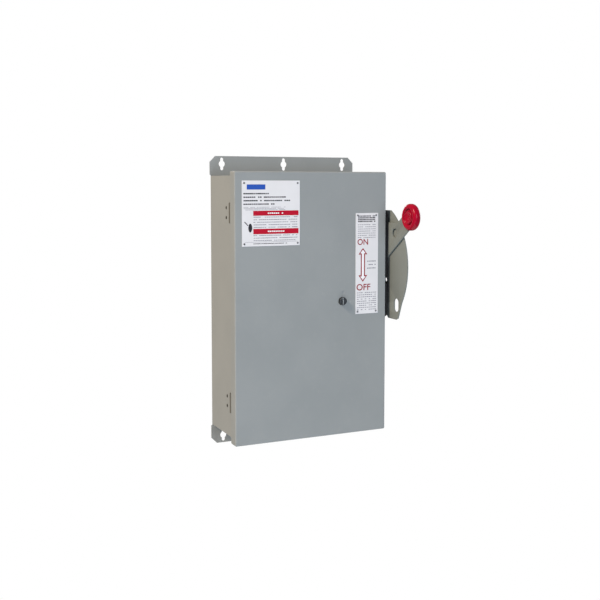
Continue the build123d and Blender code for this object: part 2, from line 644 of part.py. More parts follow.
def knob():
    """Round hand knob moulded over the lever's end, dished on both faces."""
    middle = (LEVER_X[0] + LEVER_X[1]) / 2
    u, w = polar(KNOB_RADIUS, ON_ANGLE)
    y, z = PIVOT_Y - u, PIVOT_Z + w
    disc = rod_x((middle - KNOB_WIDTH / 2, middle + KNOB_WIDTH / 2), y, z, KNOB_R)
    disc = fillet(disc.edges().filter_by(GeomType.CIRCLE), KNOB_ROUND)
    for side in (-1, 1):
        face = middle + side * KNOB_WIDTH / 2
        groove = (face - side * 1.5, face + side)
        ring = rod_x(groove, y, z, 21.5) - rod_x(groove, y, z, 16.0)
        disc -= ring
    return disc - side_profile(LEVER_X, lever_outline())


def drive_shaft():
    """Shaft from the mechanism frame out through the wall to the quadrant plate."""
    return rod_x((FRAME_X[0] - 3.0, PLATE_X[1] + 2.5), PIVOT_Y, PIVOT_Z, SHAFT_R)


def pivot_bolt():
    """Washer and hexagon head on the shaft's outer end."""
    x = PLATE_X[1] + 2.5
    return rod_x((x, x + 2.0), PIVOT_Y, PIVOT_Z, 15.0) + hex_x((x + 2.0, x + 9.0), PIVOT_Y, PIVOT_Z, 17.0)


def interlock_x():
    """X limits of the interlock cam, just outside the mechanism frame's inner plate."""
    return FRAME_X[0] + BRACKET + 4.0, FRAME_X[0] + BRACKET + 8.0


def on_shaft(x, outline):
    """A plate on the drive shaft, bored to fit it."""
    return side_profile(x, outline) - rod_x((x[0] - 1, x[1] + 1), PIVOT_Y, PIVOT_Z, SHAFT_R)


def interlock_cam():
    """Arm on the shaft with a curved finger, which stands in the door bracket's window when ON."""
    finger_r = 64.0
    ring = Circle(finger_r + 3.0) - Circle(finger_r - 3.0)
    ends = [polar(120.0, angle) for angle in (14.0, -32.0)]
    sector = make_face(Polyline((0, 0), *ends, close=True))
    arm = Pos(*polar(finger_r / 2, -26.0)) * Rot(0, 0, -26.0) * Rectangle(finger_r, 14.0)
    return on_shaft(interlock_x(), (ring & sector) + arm + Circle(SHAFT_R + 8.0))


def drive_crank():
    """Crank on the shaft that loads the spring and kicks the rotor over."""
    x = (interlock_x()[1] + 5.0, interlock_x()[1] + 11.0)
    arm = Pos(*polar(20.0, -120.0)) * Rot(0, 0, -120.0) * SlotOverall(64.0, 24.0)
    return on_shaft(x, arm + Circle(SHAFT_R + 8.0))


def operating_spring():
    """Envelope of the torsion spring round the shaft."""
    start = interlock_x()[1] + 13.0
    x = (start, start + 22.0)
    inner = SHAFT_R + 5.0
    return rod_x(x, PIVOT_Y, PIVOT_Z, inner + 5.0) - rod_x(x, PIVOT_Y, PIVOT_Z, inner)


def mechanism_frame():
    """Channel that holds the shaft's inner end, with one side bolted to the right wall."""
    y = (PIVOT_Y - 40.0, -SHEET)
    z = (PIVOT_Z - 140.0, PIVOT_Z + 142.0)
    narrow = (PIVOT_Z - 55.0, PIVOT_Z + 55.0)
    inner = block((FRAME_X[0], FRAME_X[0] + BRACKET), y, narrow)
    outer = block((FRAME_X[1] - BRACKET, FRAME_X[1]), y, z)
    foot = block((FRAME_X[0], FRAME_X[1]), (-SHEET - BRACKET, -SHEET), narrow)
    frame = inner + outer + foot
    frame -= rod_x((FRAME_X[0] - 1, FRAME_X[0] + 10), PIVOT_Y, PIVOT_Z, SHAFT_R + RUNNING)
    through = (FRAME_X[1] - BRACKET - 1, FRAME_X[1] + 1)
    frame -= rod_x(through, PIVOT_Y, PIVOT_Z, SHAFT_R + BUSHING_WALL)
    return frame - handle_bolt_rods(through, HANDLE_BOLT_R)


# ---------------------------------------------------------------- rotor

def rotor_shaft():
    """Moulded insulating shaft, slotted for the three blades, with a journal at each end."""
    shaft = rod_x(ROTOR_X, PIVOT_Y, PIVOT_Z, ROTOR_R)
    shaft += rod_x((ROTOR_X[0] - 10.0, ROTOR_X[1] + 10.0), PIVOT_Y, PIVOT_Z, JOURNAL_R)
    return shaft - blades()


def blades():
    """Copper knife blades through the rotor, one to a pole, breaking at both ends."""
    y = (PIVOT_Y - BLADE_WIDTH / 2, PIVOT_Y + BLADE_WIDTH / 2)
    z = (PIVOT_Z - BLADE_R, PIVOT_Z + BLADE_R)
    return [block((x - BLADE / 2, x + BLADE / 2), y, z) for x in POLES]


def rotor_bearings():
    """Two brackets on the pan that hold the rotor's journals."""
    places = (ROTOR_X[0] - 2.0 - BRACKET, ROTOR_X[1] + 2.0)
    brackets = []
    for x in places:
        span = (x, x + BRACKET)
        post = block(span, (PIVOT_Y - 20.0, -PAN_FRONT), (PIVOT_Z - 22.0, PIVOT_Z + 22.0))
        brackets.append(post - rod_x((x - 1, x + BRACKET + 1), PIVOT_Y, PIVOT_Z, JOURNAL_R + RUNNING))
    return brackets


# ---------------------------------------------------------------- switch and fuse gear

def mounting_pan():
    """Channel on the back plate that carries the moulded bases."""
    x = (ROTOR_X[0] - 15.0, ROTOR_X[1] + 14.0)
    z = (FUSE_BASE_Z[0] - 8.0, LINE_BASE_Z[1] + 8.0)
    pan = block(x, (-PAN_FRONT, -PAN_FRONT + PAN), z)
    pan += block((x[0], x[0] + PAN), (-PAN_FRONT, -SHEET), z)
    pan += block((x[1] - PAN, x[1]), (-PAN_FRONT, -SHEET), z)
    return pan - [rod_y(a, (-PAN_FRONT - 1, -PAN_FRONT + PAN + 1), b, 3.0) for a, b in pan_screw_places()]


def pan_screw_places():
    """(X, Z) of the pan's screws."""
    return [(x, z) for x in (ROTOR_X[0] - 4.0, ROTOR_X[1] + 6.0) for z in (FUSE_BASE_Z[0] + 8.0, LINE_BASE_Z[1] - 8.0)]


def pan_screws():
    """Screws that hold the pan to studs on the back plate."""
    screws = []
    for x, z in pan_screw_places():
        shank = rod_y(x, (-PAN_FRONT, -SHEET), z, 3.0)
        screws.append(shank + hex_y(x, (-PAN_FRONT - 4.0, -PAN_FRONT), z, 10.0))
    return screws


def moulded_base(z):
    """Insulating base between two Z values, with a low rib between the poles."""
    return block(GEAR_X, (BASE_FACE, -PAN_FRONT), z)


def line_base():
    """Insulating base of the line side."""
    return moulded_base(LINE_BASE_Z)


def fuse_base():
    """Insulating base of the fuses and the load side."""
    return moulded_base(FUSE_BASE_Z)


def barrier_places():
    """X of the barriers' centres, outside and between the poles."""
    return [POLES[0] - POLE_PITCH / 2 + n * POLE_PITCH for n in range(4)]


def barriers(z, depth):
    """Insulating sheets between two Z values, standing on the base."""
    half = BARRIER / 2
    return [block((x - half, x + half), (BASE_FACE - depth, BASE_FACE), z) for x in barrier_places()]


def line_barriers():
    """Phase barriers of the line side."""
    return barriers(LINE_BASE_Z, BARRIER_DEPTH)


def fuse_barriers():
    """Phase barriers between the fuses."""
    return barriers((FUSE_BASE_Z[0], JAW_Z[1] - 12.0), 58.0)


def line_shield():
    """Clear shield over the line terminals, resting on the barriers' front edges."""
    face = BASE_FACE - BARRIER_DEPTH
    x = (barrier_places()[0] - BARRIER / 2, barrier_places()[-1] + BARRIER / 2)
    return block(x, (face - 2.0, face), (JAW_Z[0] + 18.0, LINE_BASE_Z[1]))


def jaw(x, web_z, inward, strap_z):
    """Knife-blade jaw: two cheeks, a web past the blade's tip, a post and its strap on the base."""
    inner = BLADE / 2 + JAW_GAP
    outer = inner + JAW_CHEEK
    y = (PIVOT_Y - JAW_DEPTH / 2, PIVOT_Y + JAW_DEPTH / 2)
    tip = (web_z, web_z + inward * JAW_LENGTH)
    web = (web_z, web_z - inward * COPPER)
    piece = block((x - outer, x + outer), (y[0], STRAP_FACE), web)
    for side in (-1, 1):
        piece += block((x + side * inner, x + side * outer), y, (web[1], tip[1]))
    return piece + block((x - STRAP_WIDTH / 2, x + STRAP_WIDTH / 2), (STRAP_FACE, BASE_FACE), strap_z)


def line_jaws():
    """Line-side jaws with their straps up to the lugs."""
    strap = (JAW_Z[0] - 8.0, LINE_LUG_Z + LUG[2] / 2 + 4.0)
    return [jaw(x, JAW_Z[0], -1, strap) for x in POLES]


def load_jaws():
    """Load-side jaws with their straps down to the upper fuse clips."""
    strap = (JAW_Z[1] + 8.0, FUSE_Z + FUSE_BODY / 2 + 4.0)
    return [jaw(x, JAW_Z[1], 1, strap) for x in POLES]


def arc_chambers():
    """Stacks of slotted steel plates in front of the line jaws, which cool the arc."""
    chambers = []
    reach = PIVOT_Y - JAW_DEPTH / 2 - 4.0
    for x in POLES:
        for n in range(5):
            y = (reach - 6.0 * n - 1.5, reach - 6.0 * n)
            plate = block((x - 18, x + 18), y, (JAW_Z[0] - 24.0, JAW_Z[0] + 14.0))
            chambers.append(plate - block((x - 5.5, x + 5.5), (y[0] - 1, y[1] + 1), (JAW_Z[0] - 25.0, JAW_Z[0])))
    return chambers


def arc_chamber_sides():
    """Fibre sides that hold each stack of arc plates, standing on the base."""
    sides = []
    for x in POLES:
        for side in (-1, 1):
            span = (x + side * 18.0, x + side * 20.0)
            sides.append(block(span, (PIVOT_Y - 52.0, BASE_FACE), (JAW_Z[0] - 24.0, JAW_Z[0] + 14.0)))
    return sides


def lug(x, z):
    """Aluminium wire lug on a strap, with its wire bore and its screw hole."""
    y = (STRAP_FACE - LUG[1], STRAP_FACE)
    body = block((x - LUG[0] / 2, x + LUG[0] / 2), y, (z - LUG[2] / 2, z + LUG[2] / 2))
    body = fillet(body.edges().filter_by(Axis.Z).group_by(Axis.Y)[0], 3.0)
    middle = (y[0] + y[1]) / 2
    body -= rod_z(x, middle, (z - LUG[2], z + LUG[2]), LUG_BORE_R)
    return body - rod_y(x, (y[0] - 1, middle), z, LUG_SCREW_R)


def lug_screw(x, z):
    """Hexagon-socket set screw of one lug, backed out clear of the wire bore."""
    face = STRAP_FACE - LUG[1]
    bore_top = STRAP_FACE - LUG[1] / 2 - LUG_BORE_R
    screw = rod_y(x, (face - 6.0, bore_top - 0.4), z, LUG_SCREW_R)
    return screw - hex_y(x, (face - 7.0, face - 1.0), z, 8.0)


def line_lugs():
    """Wire lugs of the line side."""
    return [lug(x, LINE_LUG_Z) for x in POLES]


def load_lugs():
    """Wire lugs of the load side."""
    return [lug(x, LOAD_LUG_Z) for x in POLES]


def lug_screws():
    """Set screws of all the lugs."""
    return [lug_screw(x, z) for z in (LINE_LUG_Z, LOAD_LUG_Z) for x in POLES]


def fuse_clip(x, z):
    """Spring clip for one fuse blade: two cheeks, a web behind the blade and a post."""
    inner = FUSE_BLADE[0] / 2 + 0.05
    outer = inner + JAW_CHEEK
    front, back = FUSE_Y - FUSE_BLADE[1] / 2, FUSE_Y + FUSE_BLADE[1] / 2
    clip = block((x - outer, x + outer), (back + 0.2, STRAP_FACE), z)
    for side in (-1, 1):
        clip += block((x + side * inner, x + side * outer), (front + 4.0, back + 2.0), z)
    return clip


def clip_z(side):
    """Z limits of the upper (1) or lower (-1) fuse clips."""
    return FUSE_Z + side * (FUSE_BODY / 2 + 7.0), FUSE_Z + side * (FUSE_LENGTH / 2 - 3.0)


def upper_fuse_clips():
    """Clips at the fuses' upper ends."""
    return [fuse_clip(x, clip_z(1)) for x in POLES]


def lower_fuse_clips():
    """Clips at the fuses' lower ends, with their straps down to the load lugs."""
    strap_z = (LOAD_LUG_Z - LUG[2] / 2 - 4.0, clip_z(-1)[0] + 2.0)
    half = STRAP_WIDTH / 2
    return [fuse_clip(x, clip_z(-1)) + block((x - half, x + half), (STRAP_FACE, BASE_FACE), strap_z) for x in POLES]


def fuse_bodies():
    """Fuse tubes between their metal end caps."""
    half = FUSE_BODY / 2 - FUSE_CAP
    return [rod_z(x, FUSE_Y, (FUSE_Z - half, FUSE_Z + half), FUSE_R - 0.6) for x in POLES]


def fuse_caps():
    """End caps with the knife blades of the fuses."""
    caps = []
    for x in POLES:
        for side in (-1, 1):
            start, end = FUSE_Z + side * (FUSE_BODY / 2 - FUSE_CAP), FUSE_Z + side * FUSE_BODY / 2
            cap = rod_z(x, FUSE_Y, (start, end), FUSE_R)
            half_x, half_y = FUSE_BLADE[0] / 2, FUSE_BLADE[1] / 2
            tip = FUSE_Z + side * FUSE_LENGTH / 2
            caps.append(cap + block((x - half_x, x + half_x), (FUSE_Y - half_y, FUSE_Y + half_y), (end, tip)))
    return caps


def ground_bar():
    """Aluminium earth bar on the back plate."""
    y = (-SHEET - GROUND_BAR[1], -SHEET)
    bar = block(GROUND_BAR_X, y, GROUND_BAR_Z)
    middle = sum(GROUND_BAR_Z) / 2
    holes = [rod_y(x, (y[0] - 1, y[0] + 4.0), middle, 2.5) for x in ground_screw_places()]
    wires = [rod_z(x, y[0] + 6.5, (GROUND_BAR_Z[0] - 1, GROUND_BAR_Z[1] + 1), 2.4) for x in ground_screw_places()]
    return bar - holes - wires


def ground_screw_places():
    """X of the earth bar's screws."""
    pitch = (GROUND_BAR_X[1] - GROUND_BAR_X[0]) / GROUND_SCREWS
    return [GROUND_BAR_X[0] + pitch * (n + 0.5) for n in range(GROUND_SCREWS)]


def ground_bar_screws():
    """Earth bar's slotted screws."""
    face = -SHEET - GROUND_BAR[1]
    middle = sum(GROUND_BAR_Z) / 2
    screws = []
    for x in ground_screw_places():
        screw = rod_y(x, (face, face + 3.0), middle, 2.5) + rod_y(x, (face - 3.0, face), middle, 4.2)
        screws.append(screw - block((x - 5, x + 5), (face - 4.0, face - 1.8), (middle - 0.6, middle + 0.6)))
    return screws


NODES = (
    back_plate, left_side_wall, right_side_wall, top_end_wall, bottom_end_wall, knockout_slugs, front_lips,
    hinge_box_leaves, hinge_pins, hinge_rivets, hinge_door_leaves,
    door_panel, door_gasket, nameplate, operation_label, label_rivets,
    inside_label, interlock_bracket, latch_stud, latch_cross_pin, latch_washer, latch_strike,
    handle_gasket, handle_base, quadrant_plate, plate_spacers, handle_bolts, handle_nuts, shaft_bushing,
    lever, knob, drive_shaft, pivot_bolt, interlock_cam, drive_crank, operating_spring, mechanism_frame,
    rotor_shaft, blades, rotor_bearings,
    mounting_pan, pan_screws, line_base, fuse_base, line_barriers, fuse_barriers, line_shield,
    line_jaws, load_jaws, arc_chambers, arc_chamber_sides, line_lugs, load_lugs, lug_screws,
    upper_fuse_clips, lower_fuse_clips, fuse_bodies, fuse_caps, ground_bar, ground_bar_screws,
)


def solids_of(shape):
    """The separate solids of a node, whether it is one shape or a list of them."""
    pieces = shape if isinstance(shape, list) else [shape]
    return [solid for piece in pieces for solid in piece.solids()]


os.makedirs("parts", exist_ok=True)
for make in NODES:
    solids = solids_of(make())
    whole = solids[0] if len(solids) == 1 else Compound(children=solids)
    export_step(whole, f"parts/{make.__name__}.step")
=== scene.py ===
"""Looks for a three-pole fusible safety switch: grey steel box, hinged door, side lever with a red knob.

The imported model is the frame. Each section below dresses one piece, or one group of like pieces, in the order
in which the switch is put together. Lengths are in metres, Z is up, the door faces -Y.
"""
import math
import random

import bmesh
import bpy
from mathutils import Matrix, Vector


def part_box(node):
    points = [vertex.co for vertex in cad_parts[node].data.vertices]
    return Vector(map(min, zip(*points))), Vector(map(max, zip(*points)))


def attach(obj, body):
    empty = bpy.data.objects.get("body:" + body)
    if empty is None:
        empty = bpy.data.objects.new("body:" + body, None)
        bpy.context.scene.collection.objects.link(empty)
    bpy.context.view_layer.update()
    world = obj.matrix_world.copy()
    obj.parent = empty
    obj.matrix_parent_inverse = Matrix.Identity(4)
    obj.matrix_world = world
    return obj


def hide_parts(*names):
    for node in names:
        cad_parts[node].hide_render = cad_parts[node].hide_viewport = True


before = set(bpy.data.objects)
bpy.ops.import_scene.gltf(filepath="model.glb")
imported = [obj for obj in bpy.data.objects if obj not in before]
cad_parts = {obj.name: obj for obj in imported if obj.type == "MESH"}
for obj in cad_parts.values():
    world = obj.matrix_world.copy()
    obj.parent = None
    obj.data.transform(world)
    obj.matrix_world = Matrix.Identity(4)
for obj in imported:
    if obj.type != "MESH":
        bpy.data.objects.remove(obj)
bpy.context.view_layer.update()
MM = 0.001


def add_object(name, data):
    """A new object at the origin."""
    made = bpy.data.objects.new(name, data)
    bpy.context.scene.collection.objects.link(made)
    return made


def mesh_of(work, name):
    """A plain mesh from a finished bmesh."""
    mesh = bpy.data.meshes.new(name)
    work.to_mesh(mesh)
    work.free()
    return mesh


# ---------------------------------------------------------------- camera, studio and floor
# The view is from the left of the door and a little above the handle, with a long lens.

def add_camera():
    """The camera stands back to the left of the door, level with its upper half."""
    data = bpy.data.cameras.new("camera")
    data.lens = 56.54
    data.sensor_width = 36.0
    data.shift_y = -0.0833
    data.clip_end = 50.0
    camera = add_object("camera", data)
    yaw, down = math.radians(-24.824), math.radians(4.031)
    turn = Matrix.Rotation(yaw, 4, "Z") @ Matrix.Rotation(math.pi / 2 - down, 4, "X")
    camera.matrix_world = Matrix.Translation((-1.0411, -2.3591, 0.3117)) @ turn
    bpy.context.scene.camera = camera


def add_softbox(name, place, target, size, power, colour):
    """A square softbox at a place, aimed at a target."""
    data = bpy.data.lights.new(name, "AREA")
    data.shape = "SQUARE"
    data.size = size
    data.energy = power
    data.color = colour
    light = add_object(name, data)
    aim = (Vector(target) - Vector(place)).to_track_quat("-Z", "Y")
    light.matrix_world = Matrix.Translation(place) @ aim.to_matrix().to_4x4()


def add_studio():
    """White behind but a dim fill on the box, a cool key in front, a warm one high left, and three fills."""
    world = bpy.data.worlds.new("studio")
    world.use_nodes = True
    tree = world.node_tree
    seen = tree.nodes["Background"]
    seen.inputs["Color"].default_value = (1.0, 1.0, 1.0, 1.0)
    fill = tree.nodes.new("ShaderNodeBackground")
    fill.inputs["Color"].default_value = (0.96, 0.98, 1.0, 1.0)
    fill.inputs["Strength"].default_value = 0.36
    path = tree.nodes.new("ShaderNodeLightPath")
    either = tree.nodes.new("ShaderNodeMixShader")
    tree.links.new(path.outputs["Is Camera Ray"], either.inputs[0])
    tree.links.new(fill.outputs[0], either.inputs[1])
    tree.links.new(seen.outputs[0], either.inputs[2])
    tree.links.new(either.outputs[0], tree.nodes["World Output"].inputs["Surface"])
    bpy.context.scene.world = world
    bpy.context.scene.view_settings.view_transform = "Standard"
    middle = (0.0, -0.1, 0.0)
    add_softbox("front_softbox", (0.2, -3.2, 0.5), middle, 1.4, 56.0, (0.76, 0.87, 1.0))
    add_softbox("left_softbox", (-5.0, -1.5, 4.5), middle, 1.5, 660.0, (1.0, 0.83, 0.64))
    add_softbox("low_softbox", (-0.7, -1.5, -1.2), middle, 0.8, 8.0, (0.86, 0.93, 1.0))
    add_softbox("right_softbox", (2.6, 0.3, 0.8), middle, 1.2, 26.0, (0.95, 0.97, 1.0))
    add_softbox("back_softbox", (0.4, 2.8, 0.7), middle, 1.2, 34.0, (0.95, 0.97, 1.0))


def add_floor():
    """A round white floor well below the box, which hangs on a wall that isn't drawn."""
    reach, drop, steps = 1.8, 2.2, 64
    turns = [2 * math.pi * n / steps for n in range(steps)]
    mesh = bpy.data.meshes.new("floor")
    mesh.from_pydata([(reach * math.cos(t), reach * math.sin(t), -drop) for t in turns], [], [range(steps)])
    floor = add_object("floor", mesh)
    white = bpy.data.materials.new("floor_white")
    white.use_nodes = True
    shader = white.node_tree.nodes["Principled BSDF"]
    patches = white.node_tree.nodes.new("ShaderNodeTexNoise")
    patches.inputs["Scale"].default_value = 1.2
    tone = white.node_tree.nodes.new("ShaderNodeMapRange")
    tone.inputs["To Min"].default_value = 0.93
    tone.inputs["To Max"].default_value = 0.97
    white.node_tree.links.new(patches.outputs["Fac"], tone.inputs["Value"])
    white.node_tree.links.new(tone.outputs["Result"], shader.inputs["Base Color"])
    shader.inputs["Roughness"].default_value = 0.9
    shader.inputs["Emission Color"].default_value = (1.0, 1.0, 1.0, 1.0)
    shader.inputs["Emission Strength"].default_value = 0.6
    mesh.materials.append(white)


add_camera()
add_studio()
add_floor()


# ---------------------------------------------------------------- sheet-steel box
# Back plate, walls and front lips: folded and welded steel sheet, powder-coated grey inside and out. The coat
# has a fine orange peel, and the sheet is very slightly wavy between its folds.

class Value:
    """A number that varies over a surface."""

    def __init__(self, finish, socket):
        self.finish = finish
        self.socket = socket

    def math(self, operation, *terms):
        """An operation on the terms given, in their order."""
        return self.finish.node("ShaderNodeMath", {"operation": operation}, list(terms))

    def apply(self, operation):
        """An operation on this number alone."""
        return self.math(operation, self)

    def __add__(self, other):
        return self.math("ADD", self, other)

    def __radd__(self, other):
        return self.math("ADD", other, self)

    def __sub__(self, other):
        return self.math("SUBTRACT", self, other)

    def __rsub__(self, other):
        return self.math("SUBTRACT", other, self)

    def __mul__(self, other):
        return self.math("MULTIPLY", self, other)

    def __rmul__(self, other):
        return self.math("MULTIPLY", other, self)

    def __gt__(self, other):
        return self.math("GREATER_THAN", self, other)

    def __lt__(self, other):
        return self.math("LESS_THAN", self, other)


class Finish:
    """One material. Constants are set on the shader, and what varies is linked to it."""

    def __init__(self, name, **constants):
        self.material = bpy.data.materials.new(name)
        self.material.use_nodes = True
        self.tree = self.material.node_tree
        self.shader = self.tree.nodes["Principled BSDF"]
        self.set(**constants)
        self.place = self.node("ShaderNodeTexCoord", {}, {}, "Object")

    def node(self, kind, settings, sockets, output=0):
        """Adds a node, sets it up, fills its sockets, and gives one of its outputs."""
        made = self.tree.nodes.new(kind)
        for name, value in settings.items():
            setattr(made, name, value)
        named = sockets.items() if isinstance(sockets, dict) else enumerate(sockets)
        for name, value in named:
            if isinstance(value, Value):
                self.tree.links.new(value.socket, made.inputs[name])
            else:
                made.inputs[name].default_value = value
        return Value(self, made.outputs[output])

    def set(self, **values):
        """Sets the shader's sockets, named with underscores for spaces."""
        for name, value in values.items():
            socket = self.shader.inputs[name.replace("_", " ").title().replace("Ior", "IOR")]
            if isinstance(value, Value):
                self.tree.links.new(value.socket, socket)
            elif isinstance(value, tuple) and len(value) == 3:
                socket.default_value = (*value, 1.0)
            else:
                socket.default_value = value

    def noise(self, scale, detail=2.0, stretch=(1.0, 1.0, 1.0), roughness=0.5):
        """Soft random variation, with its scale in waves to a metre."""
        spread = self.node("ShaderNodeVectorMath", {"operation": "MULTIPLY"}, [self.place, stretch])
        sockets = {"Vector": spread, "Scale": scale, "Detail": detail, "Roughness": roughness}
        return self.node("ShaderNodeTexNoise", {}, sockets)

    def ramp(self, value, stops):
        """A number or a colour that follows a value through a few stops."""
        made = self.tree.nodes.new("ShaderNodeValToRGB")
        elements = made.color_ramp.elements
        while len(elements) < len(stops):
            elements.new(0.5)
        for element, (position, colour) in zip(elements, stops):
            element.position = position
            element.color = colour if isinstance(colour, tuple) else (colour, colour, colour, 1.0)
        self.tree.links.new(value.socket, made.inputs["Fac"])
        return Value(self, made.outputs["Color"])

    def blend(self, amount, first, second):
        """One colour turning into another."""
        mixed = self.tree.nodes.new("ShaderNodeMix")
        mixed.data_type = "RGBA"
        for index, value in ((0, amount), (6, first), (7, second)):
            if isinstance(value, Value):
                self.tree.links.new(value.socket, mixed.inputs[index])
            else:
                mixed.inputs[index].default_value = (*value, 1.0) if isinstance(value, tuple) else value
        return Value(self, mixed.outputs[2])

    def bump(self, height, depth, strength=1.0, over=None):
        """A bump from a height that runs from 0 to 1, with its depth in metres."""
        sockets = {"Height": height, "Distance": depth, "Strength": strength}
        if over is not None:
            sockets["Normal"] = over
        return self.node("ShaderNodeBump", {}, sockets)

    def axes(self):
        """The place on the object as three numbers, in metres."""
        split = self.tree.nodes.new("ShaderNodeSeparateXYZ")
        self.tree.links.new(self.place.socket, split.inputs[0])
        return [Value(self, output) for output in split.outputs]


def paint(finish, *names):
    """Gives CAD nodes or pieces a finish."""
    for name in names:
        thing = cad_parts[name] if isinstance(name, str) else name
        if not thing.material_slots:
            thing.data.materials.append(finish.material)
        for place in thing.material_slots:
            place.material = finish.material


def powder_coat(name, colour, roughness=0.42):
    """Grey powder coat on folded sheet: orange peel, faint mottling and a little dust."""
    coat = Finish(name, IOR=1.48, specular_ior_level=0.32)
    red, green, blue = colour
    darker = (red * 0.965, green * 0.968, blue * 0.970)
    lighter = (red * 1.025, green * 1.022, blue * 1.020)
    mottling = coat.noise(9.0, detail=4.0)
    tone = coat.blend(coat.ramp(mottling, ((0.35, 0.0), (0.65, 1.0))), darker, lighter)
    dust = coat.ramp(coat.noise(70.0, detail=5.0, roughness=0.7), ((0.55, 0.0), (0.8, 0.35)))
    coat.set(base_color=coat.blend(dust * 0.2, tone, (0.42, 0.41, 0.38)))
    peel = coat.noise(650.0, detail=1.5)
    coat.set(roughness=roughness + 0.10 * coat.noise(14.0, detail=3.0) + 0.08 * peel)
    waves = coat.bump(coat.noise(4.5, detail=1.0), 0.0009, 0.6)
    coat.set(normal=coat.bump(peel, 0.00006, 0.55, over=waves))
    return coat


box_grey = powder_coat("box_grey", (0.235, 0.247, 0.247))
paint(box_grey, "back_plate", "left_side_wall", "right_side_wall", "top_end_wall", "bottom_end_wall")
paint(box_grey, "front_lips", "knockout_slugs")


# ---------------------------------------------------------------- knockout rims
# Each knockout is a slug still held in the end wall. The punch leaves a shallow raised rim round it, here a
# thin ring on the outside of the wall, in the wall's own grey.

def points_piece(name, places):
    """An object that has nothing but one vertex at each place, for Geometry Nodes to start from."""
    data = bpy.data.meshes.new(name)
    data.from_pydata([tuple(place) for place in places], [], [])
    return add_object(name, data)


class Grower:
    """A Geometry Nodes tree with named inputs. It makes plain meshes, one for each set of places."""

    kinds = {float: "NodeSocketFloat", int: "NodeSocketInt", tuple: "NodeSocketVector"}

    def __init__(self, name, **defaults):
        self.tree = bpy.data.node_groups.new(name, "GeometryNodeTree")
        face = self.tree.interface
        face.new_socket("Geometry", in_out="INPUT", socket_type="NodeSocketGeometry")
        self.sockets = {}
        for label, value in defaults.items():
            kind = "NodeSocketObject" if value is None else self.kinds[type(value)]
            made = face.new_socket(label, in_out="INPUT", socket_type=kind)
            if value is not None:
                made.default_value = value
            self.sockets[label] = made.identifier
        face.new_socket("Finish", in_out="INPUT", socket_type="NodeSocketMaterial")
        self.sockets["Finish"] = face.items_tree[-1].identifier
        face.new_socket("Geometry", in_out="OUTPUT", socket_type="NodeSocketGeometry")
        self.start = self.tree.nodes.new("NodeGroupInput")

    def given(self, label):
        """The output of a named input."""
        return self.start.outputs[label]

    def node(self, kind, settings, sockets, output=0):
        """Adds a node, sets it up, fills its sockets, and gives one of its outputs."""
        made = self.tree.nodes.new(kind)
        for name, value in settings.items():
            setattr(made, name, value)
        for name, value in sockets.items():
            if isinstance(value, bpy.types.NodeSocket):
                self.tree.links.new(value, made.inputs[name])
            else:
                made.inputs[name].default_value = value
        return made.outputs[output]

    def end(self, geometry):
        """Closes the tree: real geometry with its finish."""
        real = self.node("GeometryNodeRealizeInstances", {}, {"Geometry": geometry})
        finish = self.given("Finish")
        painted = self.node("GeometryNodeSetMaterial", {}, {"Geometry": real, "Material": finish})
        out = self.tree.nodes.new("NodeGroupOutput")
        self.tree.links.new(painted, out.inputs[0])

    def grow(self, name, places, finish, **values):
        """Runs the tree on a set of places and gives a plain mesh object."""
        piece = points_piece(name, places)
        modifier = piece.modifiers.new("grow", "NODES")
        modifier.node_group = self.tree
        modifier[self.sockets["Finish"]] = finish.material
        for label, value in values.items():
            modifier[self.sockets[label]] = value
        graph = bpy.context.evaluated_depsgraph_get()
        mesh = bpy.data.meshes.new_from_object(piece.evaluated_get(graph))
        piece.modifiers.remove(modifier)
        piece.data = mesh
        if not mesh.materials:
            mesh.materials.append(finish.material)
        return piece


def fasten(piece, body, slot, *replaced):
    """Lets a finished piece ride on a body and stand for CAD nodes, which it hides. The slot is not used."""
    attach(piece, body)
    if replaced:
        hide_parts(*replaced)


ring_grower = Grower("rings", Radius=0.02, Section=0.0005)
circle = ring_grower.node("GeometryNodeCurvePrimitiveCircle", {}, {
    "Resolution": 48, "Radius": ring_grower.given("Radius")})
section = ring_grower.node("GeometryNodeCurvePrimitiveCircle", {}, {
    "Resolution": 8, "Radius": ring_grower.given("Section")})
rim_tube = ring_grower.node("GeometryNodeCurveToMesh", {}, {"Curve": circle, "Profile Curve": section})
rims = ring_grower.node("GeometryNodeInstanceOnPoints", {}, {
    "Points": ring_grower.given("Geometry"), "Instance": rim_tube})
ring_grower.end(rims)

slug_low, slug_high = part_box("knockout_slugs")
wall_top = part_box("top_end_wall")[1].z
knockout_y = (slug_low.y + slug_high.y) / 2
RIM = 0.0004
RIM_SUNK = 0.0001
for rim_name, knockouts, rim_radius in (
        ("small_knockout_rims", (-0.110, 0.110), 0.0226), ("large_knockout_rims", (0.0,), 0.0324)):
    rim_places = [(x, knockout_y, side * (wall_top - RIM_SUNK)) for x in knockouts for side in (-1, 1)]
    knockout_rims = ring_grower.grow(rim_name, rim_places, box_grey, Radius=rim_radius, Section=RIM)
    fasten(knockout_rims, "enclosure", "grey_enamel")


# ---------------------------------------------------------------- door
# One steel panel with its edges folded back, powder-coated like the box, with two faint dimples beside the
# latch such as spot welds leave.

WELD_SPOTS = ((0.0917, 0.0275), (0.1090, 0.0035))


def door_coat():
    """The box's grey with the spot-weld dimples, tinted slightly cooler as painted light for the cool front
    light.
    """
    coat = powder_coat("door_grey", (0.228, 0.244, 0.249))
    x, _, z = coat.axes()
    peel = coat.shader.inputs["Normal"].links[0].from_socket
    dimples = 0.0
    for place_x, place_z in WELD_SPOTS:
        away = ((x - place_x) * (x - place_x) + (z - place_z) * (z - place_z)).apply("SQRT")
        dimples = dimples + coat.ramp(away * 100.0, ((0.25, 1.0), (0.55, 0.0)))
    coat.set(normal=coat.bump(1.0 - dimples, 0.0006, 0.8, over=Value(coat, peel)))
    return coat


